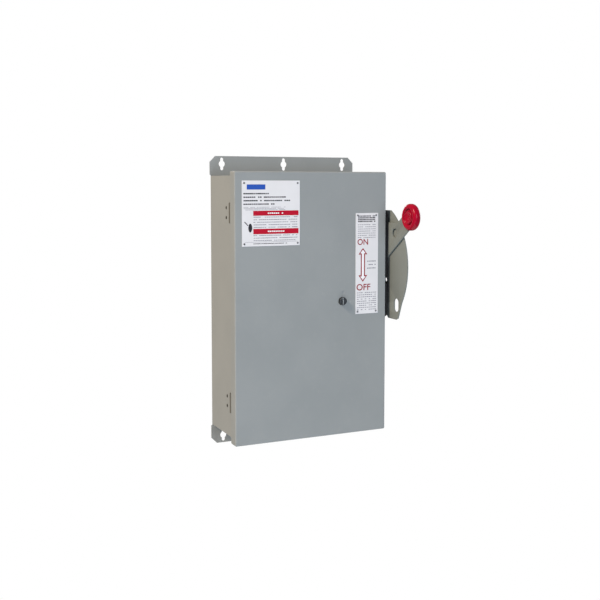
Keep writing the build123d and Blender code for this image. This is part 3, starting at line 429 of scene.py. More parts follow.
door_grey = door_coat()
paint(door_grey, "door_panel")


# ---------------------------------------------------------------- door gasket and handle gasket
# Closed-cell foam strip stuck inside the door, and a flat gasket of the same foam behind the handle's base.

foam = Finish("black_foam", roughness=0.95)
cells = foam.noise(900.0, detail=3.0)
foam.set(base_color=foam.blend(cells, (0.018, 0.018, 0.019), (0.045, 0.045, 0.047)))
foam.set(normal=foam.bump(cells, 0.0005, 0.9))
paint(foam, "door_gasket", "handle_gasket")


# ---------------------------------------------------------------- hinges
# Two three-knuckle steel hinges. The box leaf, with the outer knuckles, is riveted inside the left wall, and
# the door leaf is welded inside the door's edge. Both leaves are coated in a grey far darker than the box's,
# which is painted shade for the shadowed knuckles and recess; the pins are not coated.

def steel(name, colour, roughness, wear=(0.5, 0.5, 0.48)):
    """Bare or plated steel: cloudy tone, fine drawn lines and small rubbed spots."""
    metal = Finish(name, metallic=1.0)
    cloud = metal.noise(55.0, detail=5.0, roughness=0.65)
    lines = metal.noise(260.0, detail=2.0, stretch=(1.0, 1.0, 9.0))
    tone = metal.blend(cloud, tuple(c * 0.72 for c in colour), tuple(min(c * 1.12, 1.0) for c in colour))
    rubbed = metal.ramp(metal.noise(130.0, detail=4.0), ((0.60, 0.0), (0.74, 1.0)))
    metal.set(base_color=metal.blend(rubbed * 0.4, tone, wear))
    metal.set(roughness=roughness + 0.16 * cloud + 0.08 * lines)
    metal.set(normal=metal.bump(lines, 0.00004, 0.5))
    return metal


# Painted shade: the leaves' coat is far darker than the box's to stand for the shade round the knuckles.
leaf_grey = powder_coat("leaf_grey", (0.100, 0.098, 0.086), 0.5)
dark_steel = steel("dark_steel", (0.052, 0.056, 0.060), 0.42, (0.18, 0.19, 0.20))
paint(leaf_grey, "hinge_box_leaves", "hinge_door_leaves")
paint(dark_steel, "hinge_pins")


ON_AXIS = 1e-7


def turned(name, profile, steps):
    """A closed mesh turned about Z from (radius, height) points that start and end on the axis."""
    work = bmesh.new()
    rings = []
    for radius, height in profile:
        if radius < ON_AXIS:
            rings.append([work.verts.new((0.0, 0.0, height))])
        else:
            turns = [2 * math.pi * n / steps for n in range(steps)]
            around = [(radius * math.cos(t), radius * math.sin(t), height) for t in turns]
            rings.append([work.verts.new(place) for place in around])
    for lower, upper in zip(rings, rings[1:]):
        for n in range(steps):
            m = (n + 1) % steps
            if len(lower) == 1:
                work.faces.new((lower[0], upper[m], upper[n]))
            elif len(upper) == 1:
                work.faces.new((lower[n], lower[m], upper[0]))
            else:
                work.faces.new((lower[n], lower[m], upper[m], upper[n]))
    bmesh.ops.recalc_face_normals(work, faces=work.faces)
    return mesh_of(work, name)


def shade(piece, degrees=35.0):
    """Smooth shading that keeps edges sharper than an angle."""
    mesh = piece.data
    mesh.shade_smooth()
    mesh.set_sharp_from_angle(angle=math.radians(degrees))


shape_grower = Grower("fasteners", Shape=None, Turn=(0.0, 0.0, 0.0), Spin=0.0)
shape_info = shape_grower.tree.nodes.new("GeometryNodeObjectInfo")
shape_grower.tree.links.new(shape_grower.given("Shape"), shape_info.inputs["Object"])
chance = shape_grower.node("FunctionNodeRandomValue", {"data_type": "FLOAT"}, {
    2: 0.0, 3: shape_grower.given("Spin"), "Seed": 7}, 1)
spin_vector = shape_grower.node("ShaderNodeCombineXYZ", {}, {"Z": chance})
set_shapes = shape_grower.node("GeometryNodeInstanceOnPoints", {}, {
    "Points": shape_grower.given("Geometry"), "Instance": shape_info.outputs["Geometry"],
    "Rotation": shape_grower.given("Turn")})
spun = shape_grower.node("GeometryNodeRotateInstances", {}, {
    "Instances": set_shapes, "Rotation": spin_vector, "Local Space": True})
shape_grower.end(spun)

TO_DOOR = (math.pi / 2, 0.0, 0.0)
TO_LEFT = (0.0, -math.pi / 2, 0.0)
TO_RIGHT = (0.0, math.pi / 2, 0.0)


def repeat(name, shape, places, turn, finish, spin=0.0):
    """Sets a copy of a small mesh at each place, with its own Z turned one way, by Geometry Nodes."""
    model = add_object(name + "_shape", shape)
    piece = shape_grower.grow(name, places, finish, Shape=model, Turn=turn, Spin=spin)
    bpy.data.objects.remove(model)
    shade(piece)
    return piece


def dome(name, radius, height, shank, depth):
    """A domed rivet head on a plain shank that reaches down to a depth."""
    steps = [math.radians(90 - 18 * n) for n in range(6)]
    crown = [(radius * math.cos(a), height * math.sin(a)) for a in steps]
    return turned(name, [*crown, (shank, 0.0), (shank, -depth), (0.0, -depth)], 20)


hinge_low, hinge_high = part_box("hinge_rivets")
leaf_low, leaf_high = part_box("hinge_box_leaves")
wall_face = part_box("left_side_wall")[0].x
rivet_y = (hinge_low.y + hinge_high.y) / 2
LEAF_HEIGHT = 0.0496
RIVET_APART = 0.025
leaf_middles = (leaf_high.z - LEAF_HEIGHT / 2, leaf_low.z + LEAF_HEIGHT / 2)
hinge_rivet_places = [(wall_face, rivet_y, z + side * RIVET_APART / 2)
                      for z in leaf_middles for side in (-1, 1)]
# Partly painted shade: the rivets are dark, and their near-black coat also stands for the shade round the
# hinge.
rivet_grey = powder_coat("rivet_grey", (0.026, 0.024, 0.020), 0.5)
hinge_rivets = repeat("domed_hinge_rivets", dome("hinge_rivet", 0.0043, 0.0012, 0.0024, 0.0040),
                      hinge_rivet_places, TO_LEFT, rivet_grey)
fasten(hinge_rivets, "enclosure", "zinc", "hinge_rivets")


# ---------------------------------------------------------------- latch
# Quarter-turn steel stud through the door: a dark rounded head, a bright steel slab on the floor of its slot
# that is a painted highlight along the slot, a cross pin inside, and a retaining washer.

def softened(node, body, slot, finish, width, degrees=40.0):
    """A copy of a CAD piece with its sharp edges rounded off, standing for the piece."""
    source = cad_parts[node]
    work = bmesh.new()
    work.from_mesh(source.data)
    bmesh.ops.remove_doubles(work, verts=work.verts, dist=2e-6)
    bmesh.ops.dissolve_limit(work, angle_limit=math.radians(1.5), verts=work.verts, edges=work.edges)
    mesh = mesh_of(work, "rounded_" + node)
    piece = add_object(mesh.name, mesh)
    bevel = piece.modifiers.new("edges", "BEVEL")
    bevel.width = width
    bevel.segments = 2
    bevel.limit_method = "ANGLE"
    bevel.angle_limit = math.radians(degrees)
    graph = bpy.context.evaluated_depsgraph_get()
    rounded = bpy.data.meshes.new_from_object(piece.evaluated_get(graph))
    piece.modifiers.remove(bevel)
    rounded.materials.clear()
    rounded.materials.append(finish.material)
    piece.data = rounded
    shade(piece, 30.0)
    fasten(piece, body, slot, node)


bright_steel = steel("bright_steel", (0.60, 0.60, 0.58), 0.30)
zinc = steel("zinc_plate", (0.56, 0.57, 0.56), 0.34)
softened("latch_stud", "latch", "dark_steel", dark_steel, 0.0004)
paint(dark_steel, "latch_cross_pin")
paint(zinc, "latch_washer", "latch_strike")

stud_low, stud_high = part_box("latch_stud")
stud_x, stud_z = (stud_low.x + stud_high.x) / 2, (stud_low.z + stud_high.z) / 2
SLOT_HALF_WIDTH = 0.00155
SLOT_HALF_LENGTH = 0.0088
SLOT_FLOOR = (0.0022, 0.0031)


def plate_piece(name, boxes, finish):
    """One mesh of plain slabs, each given by its lowest and highest corners."""
    work = bmesh.new()
    for low, high in boxes:
        size = [b - a for a, b in zip(low, high)]
        middle = [(a + b) / 2 for a, b in zip(low, high)]
        place = Matrix.Translation(middle) @ Matrix.Diagonal((*size, 1.0))
        bmesh.ops.create_cube(work, size=1.0, matrix=place)
    mesh = mesh_of(work, name)
    mesh.materials.append(finish.material)
    return add_object(name, mesh)


# Painted highlight: a bright steel slab on the slot floor stands for the highlight along the slot.
slot_low = (stud_x - SLOT_HALF_WIDTH, stud_low.y + SLOT_FLOOR[0], stud_z - SLOT_HALF_LENGTH)
slot_high = (stud_x + SLOT_HALF_WIDTH, stud_low.y + SLOT_FLOOR[1], stud_z + SLOT_HALF_LENGTH)
slot_highlight = plate_piece("worn_latch_slot", [(slot_low, slot_high)], bright_steel)
fasten(slot_highlight, "latch", "dark_steel")


# ---------------------------------------------------------------- label plates
# Two thin aluminium plates with a white baked coat, held by four drive rivets each. The print stands a few
# hundredths of a millimetre proud. The words on a real plate are only hinted at with rows of dashes.

label_white = Finish("label_white", roughness=0.42, IOR=1.45, specular_ior_level=0.3)
clouding = label_white.noise(30.0, detail=4.0)
label_white.set(base_color=label_white.blend(clouding, (0.575, 0.57, 0.59), (0.635, 0.63, 0.65)))
label_white.set(normal=label_white.bump(label_white.noise(500.0), 0.00003, 0.4))
paint(label_white, "nameplate", "operation_label")


def ink(name, colour):
    """Screen-printed ink: slightly uneven cover, a little glossier than the plate."""
    made = Finish(name, roughness=0.5, specular_ior_level=0.08)
    cover = made.noise(1400.0, detail=2.0)
    faded = tuple(0.9 * part + 0.006 for part in colour)
    made.set(base_color=made.blend(cover, colour, faded))
    return made


ink_black = ink("ink_black", (0.020, 0.020, 0.026))
ink_grey = ink("ink_grey", (0.14, 0.14, 0.18))
ink_red = ink("ink_red", (0.40, 0.0005, 0.018))
ink_maroon = ink("ink_maroon", (0.24, 0.006, 0.014))
ink_blue = ink("ink_blue", (0.018, 0.075, 0.38))
ink_white = ink("ink_white", (0.75, 0.75, 0.78))

PRINT = 0.00006
BAR_PRINT = 0.00005
dash_grower = Grower("printed_rows", Width=0.05, Height=0.01, Columns=12, Rows=3, Stroke=0.001,
                     Thickness=PRINT, Gaps=0.2, Seed=1)
dash_grid = dash_grower.node("GeometryNodeMeshGrid", {}, {
    "Size X": dash_grower.given("Width"), "Size Y": dash_grower.given("Height"),
    "Vertices X": dash_grower.given("Columns"), "Vertices Y": dash_grower.given("Rows")})
dropped = dash_grower.node("FunctionNodeRandomValue", {"data_type": "BOOLEAN"}, {
    "Probability": dash_grower.given("Gaps"), "Seed": dash_grower.given("Seed")}, 3)
kept_dashes = dash_grower.node("GeometryNodeDeleteGeometry", {"domain": "POINT"}, {
    "Geometry": dash_grid, "Selection": dropped})
cell = dash_grower.node("ShaderNodeMath", {"operation": "DIVIDE"}, {
    0: dash_grower.given("Width"), 1: dash_grower.given("Columns")})
share = dash_grower.node("FunctionNodeRandomValue", {"data_type": "FLOAT"}, {
    2: 0.70, 3: 1.05, "Seed": dash_grower.given("Seed")}, 1)
dash_length = dash_grower.node("ShaderNodeMath", {"operation": "MULTIPLY"}, {0: cell, 1: share})
dash_size = dash_grower.node("ShaderNodeCombineXYZ", {}, {
    "X": dash_length, "Y": dash_grower.given("Stroke"), "Z": dash_grower.given("Thickness")})
dash_shape = dash_grower.node("GeometryNodeMeshCube", {}, {"Size": (1.0, 1.0, 1.0)})
dashes = dash_grower.node("GeometryNodeInstanceOnPoints", {}, {
    "Points": kept_dashes, "Instance": dash_shape, "Scale": dash_size})
upright = dash_grower.node("GeometryNodeRotateInstances", {}, {
    "Instances": dashes, "Rotation": TO_DOOR, "Local Space": False, "Pivot Point": (0.0, 0.0, 0.0)})
dash_grower.end(upright)


def printed_rows(name, sheet, area, columns, rows, stroke, finish, gaps, seed):
    """Rows of dashes on a label. The area is left, right, top, bottom, in millimetres from its top left."""
    left, right, top, bottom = [part * MM for part in area]
    stroke_size = stroke * MM
    width = (right - left) * (columns - 1) / columns
    height = bottom - top - stroke_size
    piece = dash_grower.grow(name, [(0.0, 0.0, 0.0)], finish, Width=width, Height=height, Columns=columns,
                             Rows=rows, Stroke=stroke_size, Gaps=gaps, Seed=seed)
    middle = ((left + right) / 2, 0.0, -(top + bottom) / 2)
    piece.data.transform(Matrix.Translation(Vector(sheet["corner"]) + Vector(middle)))
    fasten(piece, sheet["body"], sheet["slot"])


def flat_print(name, sheet, outlines, finish, lift=BAR_PRINT):
    """Flat printed shapes on a label, each an outline in millimetres from the label's top left."""
    work = bmesh.new()
    corner = Vector(sheet["corner"])
    for outline in outlines:
        front = [work.verts.new(corner + Vector((x * MM, -lift, -z * MM))) for x, z in outline]
        back = [work.verts.new(corner + Vector((x * MM, 0.0, -z * MM))) for x, z in outline]
        work.faces.new(front)
        work.faces.new(list(reversed(back)))
        for n in range(len(front)):
            m = (n + 1) % len(front)
            work.faces.new((front[m], front[n], back[n], back[m]))
    bmesh.ops.recalc_face_normals(work, faces=work.faces)
    mesh = mesh_of(work, name)
    mesh.materials.append(finish.material)
    fasten(add_object(name, mesh), sheet["body"], sheet["slot"])


def bar(left, right, top, bottom):
    """A rectangle for flat_print."""
    return [(left, top), (right, top), (right, bottom), (left, bottom)]


def sheet_at(node, lift=0.0):
    """The front top-left corner of a label on the door, for print that lies flat on it or on other print."""
    low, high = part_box(node)
    return {"corner": (low.x, low.y - lift, high.z), "body": "door", "slot": "label_white"}


# Rating plate: a plain blue bar, bold rows, two red bars with pale dashes, small rows and a simple dark mark.

rating = sheet_at("nameplate")
flat_print("rating_blue_bar", rating, [bar(13.0, 63.0, 9.6, 22.4)], ink_blue)
for row, (row_end, row_columns) in enumerate(((73.0, 13), (119.0, 21), (131.0, 23), (88.0, 16))):
    row_top = 31.0 + 8.7 * row
    printed_rows(f"rating_bold_row_{row + 1}", rating, (3.8, row_end, row_top, row_top + 3.2), row_columns, 1,
                 3.2, ink_black, 0.10, 3 + row)
printed_rows("rating_fine_rows", rating, (4.5, 118.0, 66.0, 73.5), 26, 3, 1.0, ink_grey, 0.12, 25)
flat_print("rating_red_bars", rating, [bar(30.0, 154.0, 75.3, 87.6), bar(30.0, 154.0, 120.5, 133.8)], ink_red)
dash_face = sheet_at("nameplate", PRINT)
printed_rows("rating_bar_dashes_upper", dash_face, (69.0, 112.0, 79.8, 83.4), 8, 1, 3.4, ink_white, 0.1, 4)
printed_rows("rating_bar_dashes_lower", dash_face, (69.0, 115.0, 125.4, 129.0), 9, 1, 3.4, ink_white, 0.1, 6)
printed_rows("rating_middle_rows", rating, (30.5, 151.0, 90.5, 117.5), 24, 5, 1.5, ink_grey, 0.10, 8)
printed_rows("rating_lower_rows", rating, (30.5, 151.0, 136.5, 150.5), 24, 3, 1.5, ink_grey, 0.10, 9)
printed_rows("rating_foot_row", rating, (30.0, 122.0, 156.5, 159.0), 24, 1, 1.7, ink_black, 0.1, 10)
flat_print("rating_foot_line", rating, [bar(7.0, 150.0, 153.2, 153.8)], ink_grey)


def disc(x, z, half_width, half_height, steps=20):
    """An oval for flat_print."""
    turns = [2 * math.pi * n / steps for n in range(steps)]
    return [(x + half_width * math.cos(t), z + half_height * math.sin(t)) for t in turns]


flat_print("rating_dark_mark", rating, [
    disc(22.0, 118.0, 5.2, 11.0), [(5.8, 103.5), (7.6, 102.0), (17.0, 111.5), (16.0, 113.5)]], ink_black)

# Operation plate: ON above, OFF below and a double arrow between them, with rows of dashes round them.

operation = sheet_at("operation_label")
printed_rows("operation_heading", operation, (6.5, 58.5, 6.5, 23.5), 12, 4, 3.0, ink_black, 0.08, 11)
printed_rows("operation_upper_rows", operation, (6.0, 60.0, 30.0, 65.0), 10, 7, 1.4, ink_grey, 0.12, 12)
printed_rows("operation_side_rows", operation, (34.0, 60.5, 126.0, 147.0), 6, 3, 2.6, ink_grey, 0.05, 13)
printed_rows("operation_lower_rows", operation, (4.0, 62.0, 209.5, 256.0), 10, 9, 1.6, ink_grey, 0.10, 14)


def arrow(inset):
    """A double-headed arrow drawn inside its own outline by an inset."""
    left, right = 8.6 + 1.6 * inset, 34.8 - 1.6 * inset
    stem_left, stem_right = 15.4 + inset, 28.0 - inset
    middle = 21.7
    top, bottom = 91.5 + 1.7 * inset, 181.5 - 1.7 * inset
    neck_top, neck_bottom = 109.0 - inset, 164.0 + inset
    return [(middle, top), (right, neck_top), (stem_right, neck_top), (stem_right, neck_bottom),
            (right, neck_bottom), (middle, bottom), (left, neck_bottom), (stem_left, neck_bottom),
            (stem_left, neck_top), (left, neck_top)]


flat_print("operation_arrow_outline", operation, [arrow(0.0)], ink_maroon)
flat_print("operation_arrow_inside", sheet_at("operation_label", BAR_PRINT), [arrow(3.0)], ink_white, 0.00003)


def word(name, text, sheet, left, top, width, height, finish):
    """A short word as a thin mesh, fitted to a box in millimetres from a label's top left."""
    curve = bpy.data.curves.new(name, "FONT")
    curve.body = text
    curve.extrude = 0.5
    curve.offset = 0.012
    holder = add_object(name + "_text", curve)
    graph = bpy.context.evaluated_depsgraph_get()
    mesh = bpy.data.meshes.new_from_object(holder.evaluated_get(graph))
    bpy.data.objects.remove(holder)
    xs = [vertex.co.x for vertex in mesh.vertices]
    ys = [vertex.co.y for vertex in mesh.vertices]
    wide, tall = width * MM / (max(xs) - min(xs)), height * MM / (max(ys) - min(ys))
    corner = Vector(sheet["corner"]) + Vector((left * MM, 0.0, -top * MM))
    for vertex in mesh.vertices:
        x, y, z = vertex.co
        vertex.co = corner + Vector(((x - min(xs)) * wide, -(z + 0.5) * PRINT, (y - max(ys)) * tall))
    work = bmesh.new()
    work.from_mesh(mesh)
    bmesh.ops.remove_doubles(work, verts=work.verts, dist=1e-7)
    bmesh.ops.recalc_face_normals(work, faces=work.faces)
    work.to_mesh(mesh)
    work.free()
    mesh.materials.clear()
    mesh.materials.append(finish.material)
    fasten(add_object(name, mesh), sheet["body"], sheet["slot"])


word("operation_on", "ON", operation, 5.4, 68.0, 31.5, 15.6, ink_maroon)
word("operation_off", "OFF", operation, 3.0, 187.0, 41.5, 17.0, ink_maroon)


# ---------------------------------------------------------------- label rivets
# Eight small aluminium drive rivets with low domed heads, set in from the labels' corners.

def corners_of(node, inset):
    """The four rivet places on the front face of a label."""
    low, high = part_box(node)
    return [(x, low.y, z) for x in (low.x + inset, high.x - inset) for z in (low.z + inset, high.z - inset)]


rivet_aluminium = steel("rivet_aluminium", (0.16, 0.16, 0.17), 0.45, (0.30, 0.30, 0.31))
RIVET_INSET = 0.006
label_rivet_places = corners_of("nameplate", RIVET_INSET) + corners_of("operation_label", RIVET_INSET)
label_rivets = repeat("domed_label_rivets", dome("label_rivet", 0.0026, 0.00095, 0.0021, 0.0029),
                      label_rivet_places, TO_DOOR, rivet_aluminium)
fasten(label_rivets, "door", "zinc", "label_rivets")


# ---------------------------------------------------------------- handle base and quadrant plate
# The base is moulded in glass-filled nylon with a fine sparked texture; its near-black colour is painted shade
# for the deep shadow in the gap between the door's edge and the plate. The quadrant plate is steel in a darker
# grey than the box, bolted through spacers so that the lever swings between plate and base.

# Painted shade: the base's near-black stands for the shadow between the door's edge and the quadrant plate.
black_nylon = Finish("black_nylon", IOR=1.5, specular_ior_level=0.2)
grain = black_nylon.noise(1500.0, detail=2.0)
black_nylon.set(base_color=black_nylon.blend(black_nylon.noise(25.0, detail=4.0), (0.006, 0.006, 0.007),
                                             (0.016, 0.016, 0.017)))
black_nylon.set(roughness=0.50 + 0.15 * grain)
black_nylon.set(normal=black_nylon.bump(grain, 0.00008, 0.7))
softened("handle_base", "enclosure", "black_moulding", black_nylon, 0.0006)

plate_grey = powder_coat("plate_grey", (0.140, 0.157, 0.153), 0.46)
softened("quadrant_plate", "enclosure", "plate_enamel", plate_grey, 0.0005)
paint(zinc, "plate_spacers")


# ---------------------------------------------------------------- handle fasteners
# Zinc-plated hexagon bolts and nuts, and the shaft's outer washer and bolt, all with chamfered corners.

softened("handle_bolts", "enclosure", "zinc", zinc, 0.0006, 25.0)
softened("handle_nuts", "enclosure", "zinc", zinc, 0.0005, 25.0)
softened("pivot_bolt", "handle", "zinc", zinc, 0.0007, 25.0)


# ---------------------------------------------------------------- lever and knob
# The lever is steel plate, fixed to the shaft, in the quadrant plate's grey. The knob is moulded over its end
# in glossy red, with a turned groove round a low boss on each face.

softened("lever", "handle", "plate_enamel", plate_grey, 0.0006)

red_plastic = Finish("red_plastic", IOR=1.46, specular_ior_level=0.14)
flow = red_plastic.noise(22.0, detail=3.0)
red_plastic.set(base_color=red_plastic.blend(flow, (0.225, 0.0003, 0.012), (0.300, 0.0006, 0.018)))
scuffs = red_plastic.ramp(red_plastic.noise(240.0, detail=5.0, roughness=0.7), ((0.55, 0.0), (0.75, 1.0)))
red_plastic.set(roughness=0.24 + 0.16 * scuffs)
red_plastic.set(normal=red_plastic.bump(red_plastic.noise(90.0), 0.00010, 0.35))

knob_low, knob_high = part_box("knob")
knob_middle = (knob_low + knob_high) / 2
knob_radius = (knob_high.z - knob_low.z) / 2
knob_half = (knob_high.x - knob_low.x) / 2


def knob_face():
    """(Radius, height) from the axis to the widest place, for one face of the knob."""
    boss = [(0.0, 0.0078), (0.006, 0.0078), (0.0115, 0.0084), (0.0146, 0.0096), (0.0158, 0.0097)]
    groove = [(0.0166, 0.0088), (0.0172, 0.0062), (0.0188, 0.0050), (0.0208, 0.0060), (0.0218, 0.0086)]
    shoulder = [(0.0232, 0.0101)]
    drawn_half = 0.0105
    scale = knob_half / drawn_half
    corner = 0.0085
    arc = [math.radians(90 - 10 * n) for n in range(10)]
    rim_r, rim_h = knob_radius - corner, knob_half - corner
    rim = [(rim_r + corner * math.cos(a), rim_h + corner * math.sin(a)) for a in arc]
    return [(r, h * scale) for r, h in boss + groove + shoulder] + rim


front_face = knob_face()
knob_profile = front_face + [(r, -h) for r, h in reversed(front_face)]
knob_mesh = turned("turned_knob", knob_profile, 72)
knob_mesh.transform(Matrix.Translation(knob_middle) @ Matrix.Rotation(math.pi / 2, 4, "Y"))
knob_mesh.materials.append(red_plastic.material)
turned_knob = add_object("turned_knob", knob_mesh)
shade(turned_knob, 60.0)
fasten(turned_knob, "handle", "red_knob", "knob")


# ---------------------------------------------------------------- shaft, frame and spring
# Turned steel shaft in a sintered bronze bushing, with the interlock cam and crank pressed on, inside a
# plated channel. A torsion spring of hard-drawn wire throws the handle the rest of its way.

shaft_steel = steel("shaft_steel", (0.33, 0.33, 0.33), 0.28)
bronze = steel("bronze", (0.50, 0.33, 0.14), 0.36, (0.62, 0.44, 0.22))
paint(shaft_steel, "drive_shaft")
paint(bronze, "shaft_bushing")
paint(zinc, "mechanism_frame", "interlock_cam", "drive_crank", "interlock_bracket")

spring_grower = Grower("spring", Turns=5.0, Radius=0.0175, Wire=0.0020, Length=0.02)
spiral = spring_grower.node("GeometryNodeCurveSpiral", {}, {
    "Resolution": 32, "Rotations": spring_grower.given("Turns"), "Height": spring_grower.given("Length"),
    "Start Radius": spring_grower.given("Radius"), "End Radius": spring_grower.given("Radius")})
wire = spring_grower.node("GeometryNodeCurvePrimitiveCircle", {}, {
    "Resolution": 10, "Radius": spring_grower.given("Wire")})
coil = spring_grower.node("GeometryNodeCurveToMesh", {}, {
    "Curve": spiral, "Profile Curve": wire, "Fill Caps": True})
coils = spring_grower.node("GeometryNodeInstanceOnPoints", {}, {
    "Points": spring_grower.given("Geometry"), "Instance": coil, "Rotation": TO_RIGHT})
spring_grower.end(coils)

spring_steel = steel("spring_steel", (0.20, 0.20, 0.21), 0.30)
spring_low, spring_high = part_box("operating_spring")
spring_axis = (spring_low + spring_high) / 2
WIRE = 0.0021
COIL_TURNS = 4.5
spring_length = spring_high.x - spring_low.x - 2 * WIRE
spring_radius = (spring_high.z - spring_low.z) / 2 - WIRE
operating_coil = spring_grower.grow(
    "operating_coil", [(spring_low.x + WIRE, spring_axis.y, spring_axis.z)], spring_steel,
    Turns=COIL_TURNS, Radius=spring_radius, Wire=WIRE, Length=spring_length)
shade(operating_coil, 60.0)
fasten(operating_coil, "enclosure", "spring_steel", "operating_spring")


# ---------------------------------------------------------------- rotor
# Phenolic moulding on its own journals, with a silvered copper knife blade through it for each pole.

phenolic = Finish("phenolic", IOR=1.55)
marbling = phenolic.noise(40.0, detail=5.0, stretch=(0.4, 1.0, 1.0))
phenolic.set(base_color=phenolic.blend(marbling, (0.012, 0.011, 0.010), (0.035, 0.030, 0.026)))
phenolic.set(roughness=0.28 + 0.2 * marbling)
phenolic.set(normal=phenolic.bump(phenolic.noise(300.0), 0.00005, 0.4))
copper = steel("tinned_copper", (0.60, 0.35, 0.22), 0.30, (0.66, 0.58, 0.52))
paint(phenolic, "rotor_shaft")
softened("blades", "rotor", "copper", copper, 0.0006)
paint(zinc, "rotor_bearings")


# ---------------------------------------------------------------- pan and moulded bases
# Galvanised channel screwed to the back, carrying two glass-polyester bases pressed in brick red.

def polyester():
    """Glass-filled polyester: brick red with paler fibres and a slightly hungry surface."""
    made = Finish("brick_polyester", IOR=1.5)
    body = made.noise(35.0, detail=5.0)
    fibres = made.ramp(made.noise(420.0, detail=2.0, stretch=(1.0, 1.0, 0.25)), ((0.58, 0.0), (0.68, 1.0)))
    tone = made.blend(body, (0.20, 0.030, 0.020), (0.30, 0.052, 0.034))
    made.set(base_color=made.blend(fibres * 0.35, tone, (0.42, 0.16, 0.12)))
    made.set(roughness=0.42 + 0.15 * body)
    made.set(normal=made.bump(fibres, 0.00006, 0.6))
    return made


def galvanised():
    """Galvanised sheet with a soft spangle."""
    made = Finish("galvanised", metallic=1.0)
    spangle = made.node("ShaderNodeTexVoronoi", {"feature": "F1"}, {"Vector": made.place, "Scale": 160.0}, 1)
    grains = made.ramp(spangle, ((0.0, (0.42, 0.43, 0.44, 1.0)), (1.0, (0.62, 0.63, 0.63, 1.0))))
    made.set(base_color=grains)
    made.set(roughness=0.38 + 0.14 * made.noise(80.0, detail=3.0))
    return made


paint(galvanised(), "mounting_pan")
brick = polyester()
softened("line_base", "enclosure", "red_moulding", brick, 0.0008)
softened("fuse_base", "enclosure", "red_moulding", brick, 0.0008)
softened("pan_screws", "enclosure", "zinc", zinc, 0.0005, 25.0)


# ---------------------------------------------------------------- barriers, arc chambers and line shield
# Vulcanised fibre sheets between the poles, stacks of slotted steel plates in fibre sides at the line jaws,
# and a clear polycarbonate sheet over the line terminals.

fibre = Finish("vulcanised_fibre", roughness=0.72)
felting = fibre.noise(180.0, detail=6.0, roughness=0.7)
fibre.set(base_color=fibre.blend(felting, (0.42, 0.27, 0.17), (0.58, 0.41, 0.28)))
fibre.set(normal=fibre.bump(felting, 0.00012, 0.6))
paint(fibre, "line_barriers", "fuse_barriers", "arc_chamber_sides")
paint(steel("arc_plate", (0.30, 0.29, 0.28), 0.40), "arc_chambers")

clear = Finish("clear_polycarbonate", IOR=1.58)
haze = clear.noise(60.0, detail=5.0)
clear.set(base_color=clear.blend(haze, (0.72, 0.80, 0.82), (0.85, 0.90, 0.90)))
clear.set(roughness=0.06 + 0.10 * haze)
clear.set(alpha=0.10 + 0.06 * haze)
paint(clear, "line_shield")


# ---------------------------------------------------------------- jaws, clips, lugs and screws
# Tin-washed copper jaws and clips on straps, extruded aluminium lugs, and plated socket set screws.

aluminium = steel("drawn_aluminium", (0.68, 0.69, 0.70), 0.30)
softened("line_jaws", "enclosure", "copper", copper, 0.0004)
softened("load_jaws", "enclosure", "copper", copper, 0.0004)
softened("upper_fuse_clips", "enclosure", "copper", copper, 0.0004)
softened("lower_fuse_clips", "enclosure", "copper", copper, 0.0004)
paint(aluminium, "line_lugs", "load_lugs")
softened("lug_screws", "enclosure", "zinc", bright_steel, 0.0004, 25.0)


# ---------------------------------------------------------------- fuses
# Wound glass-melamine tubes with copper caps and knife blades. Each tube has a paper band with a green stripe
# at each end and rows of marks that stand for print.

tube = Finish("fuse_tube", roughness=0.45)
winding = tube.noise(260.0, detail=3.0, stretch=(1.0, 1.0, 8.0))
tube.set(base_color=tube.blend(winding, (0.50, 0.42, 0.27), (0.64, 0.56, 0.39)))
tube.set(normal=tube.bump(winding, 0.00008, 0.6))
paint(tube, "fuse_bodies")
softened("fuse_caps", "enclosure", "copper", copper, 0.0006)

body_low, body_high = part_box("fuse_bodies")
fuse_y = (body_low.y + body_high.y) / 2
fuse_z = (body_low.z + body_high.z) / 2
fuse_radius = (body_high.y - body_low.y) / 2
fuse_pitch = (body_high.x - body_low.x - 2 * fuse_radius) / 2
fuse_x = [body_low.x + fuse_radius + n * fuse_pitch for n in range(3)]
BARE_END = 0.008
PAPER = 0.00035
band_half = (body_high.z - body_low.z) / 2 - BARE_END
band_skin = fuse_radius + PAPER
band_outline = [(0.0, -band_half), (band_skin, -band_half), (band_skin, band_half), (0.0, band_half)]
band = turned("paper_band", band_outline, 48)

band_paper = Finish("band_paper", roughness=0.6)
_, _, band_z = band_paper.axes()
from_middle = (band_z - fuse_z).apply("ABSOLUTE")
stripe = from_middle > band_half - 0.005
fine = ((band_z * 700.0).apply("FRACT") > 0.55) * (from_middle < band_half - 0.010)
print_rows = fine * band_paper.ramp(band_paper.noise(300.0, detail=2.0), ((0.48, 0.0), (0.52, 1.0)))
paper_tone = band_paper.blend(band_paper.noise(90.0, detail=4.0), (0.62, 0.60, 0.52), (0.72, 0.70, 0.62))
with_print = band_paper.blend(print_rows * 0.7, paper_tone, (0.10, 0.10, 0.12))
band_paper.set(base_color=band_paper.blend(stripe * 0.9, with_print, (0.06, 0.16, 0.10)))
band_places = [(x, fuse_y, fuse_z) for x in fuse_x]
fuse_bands = repeat("fuse_paper_bands", band, band_places, (0.0, 0.0, 0.0), band_paper)
fasten(fuse_bands, "enclosure", "paper")


# ---------------------------------------------------------------- earth bar
# Drawn aluminium bar screwed to the back, with a slotted brass-plated screw for each wire.

softened("ground_bar", "enclosure", "aluminium", aluminium, 0.0005)
bar_low, bar_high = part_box("ground_bar")
screw_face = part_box("ground_bar_screws")[0].y


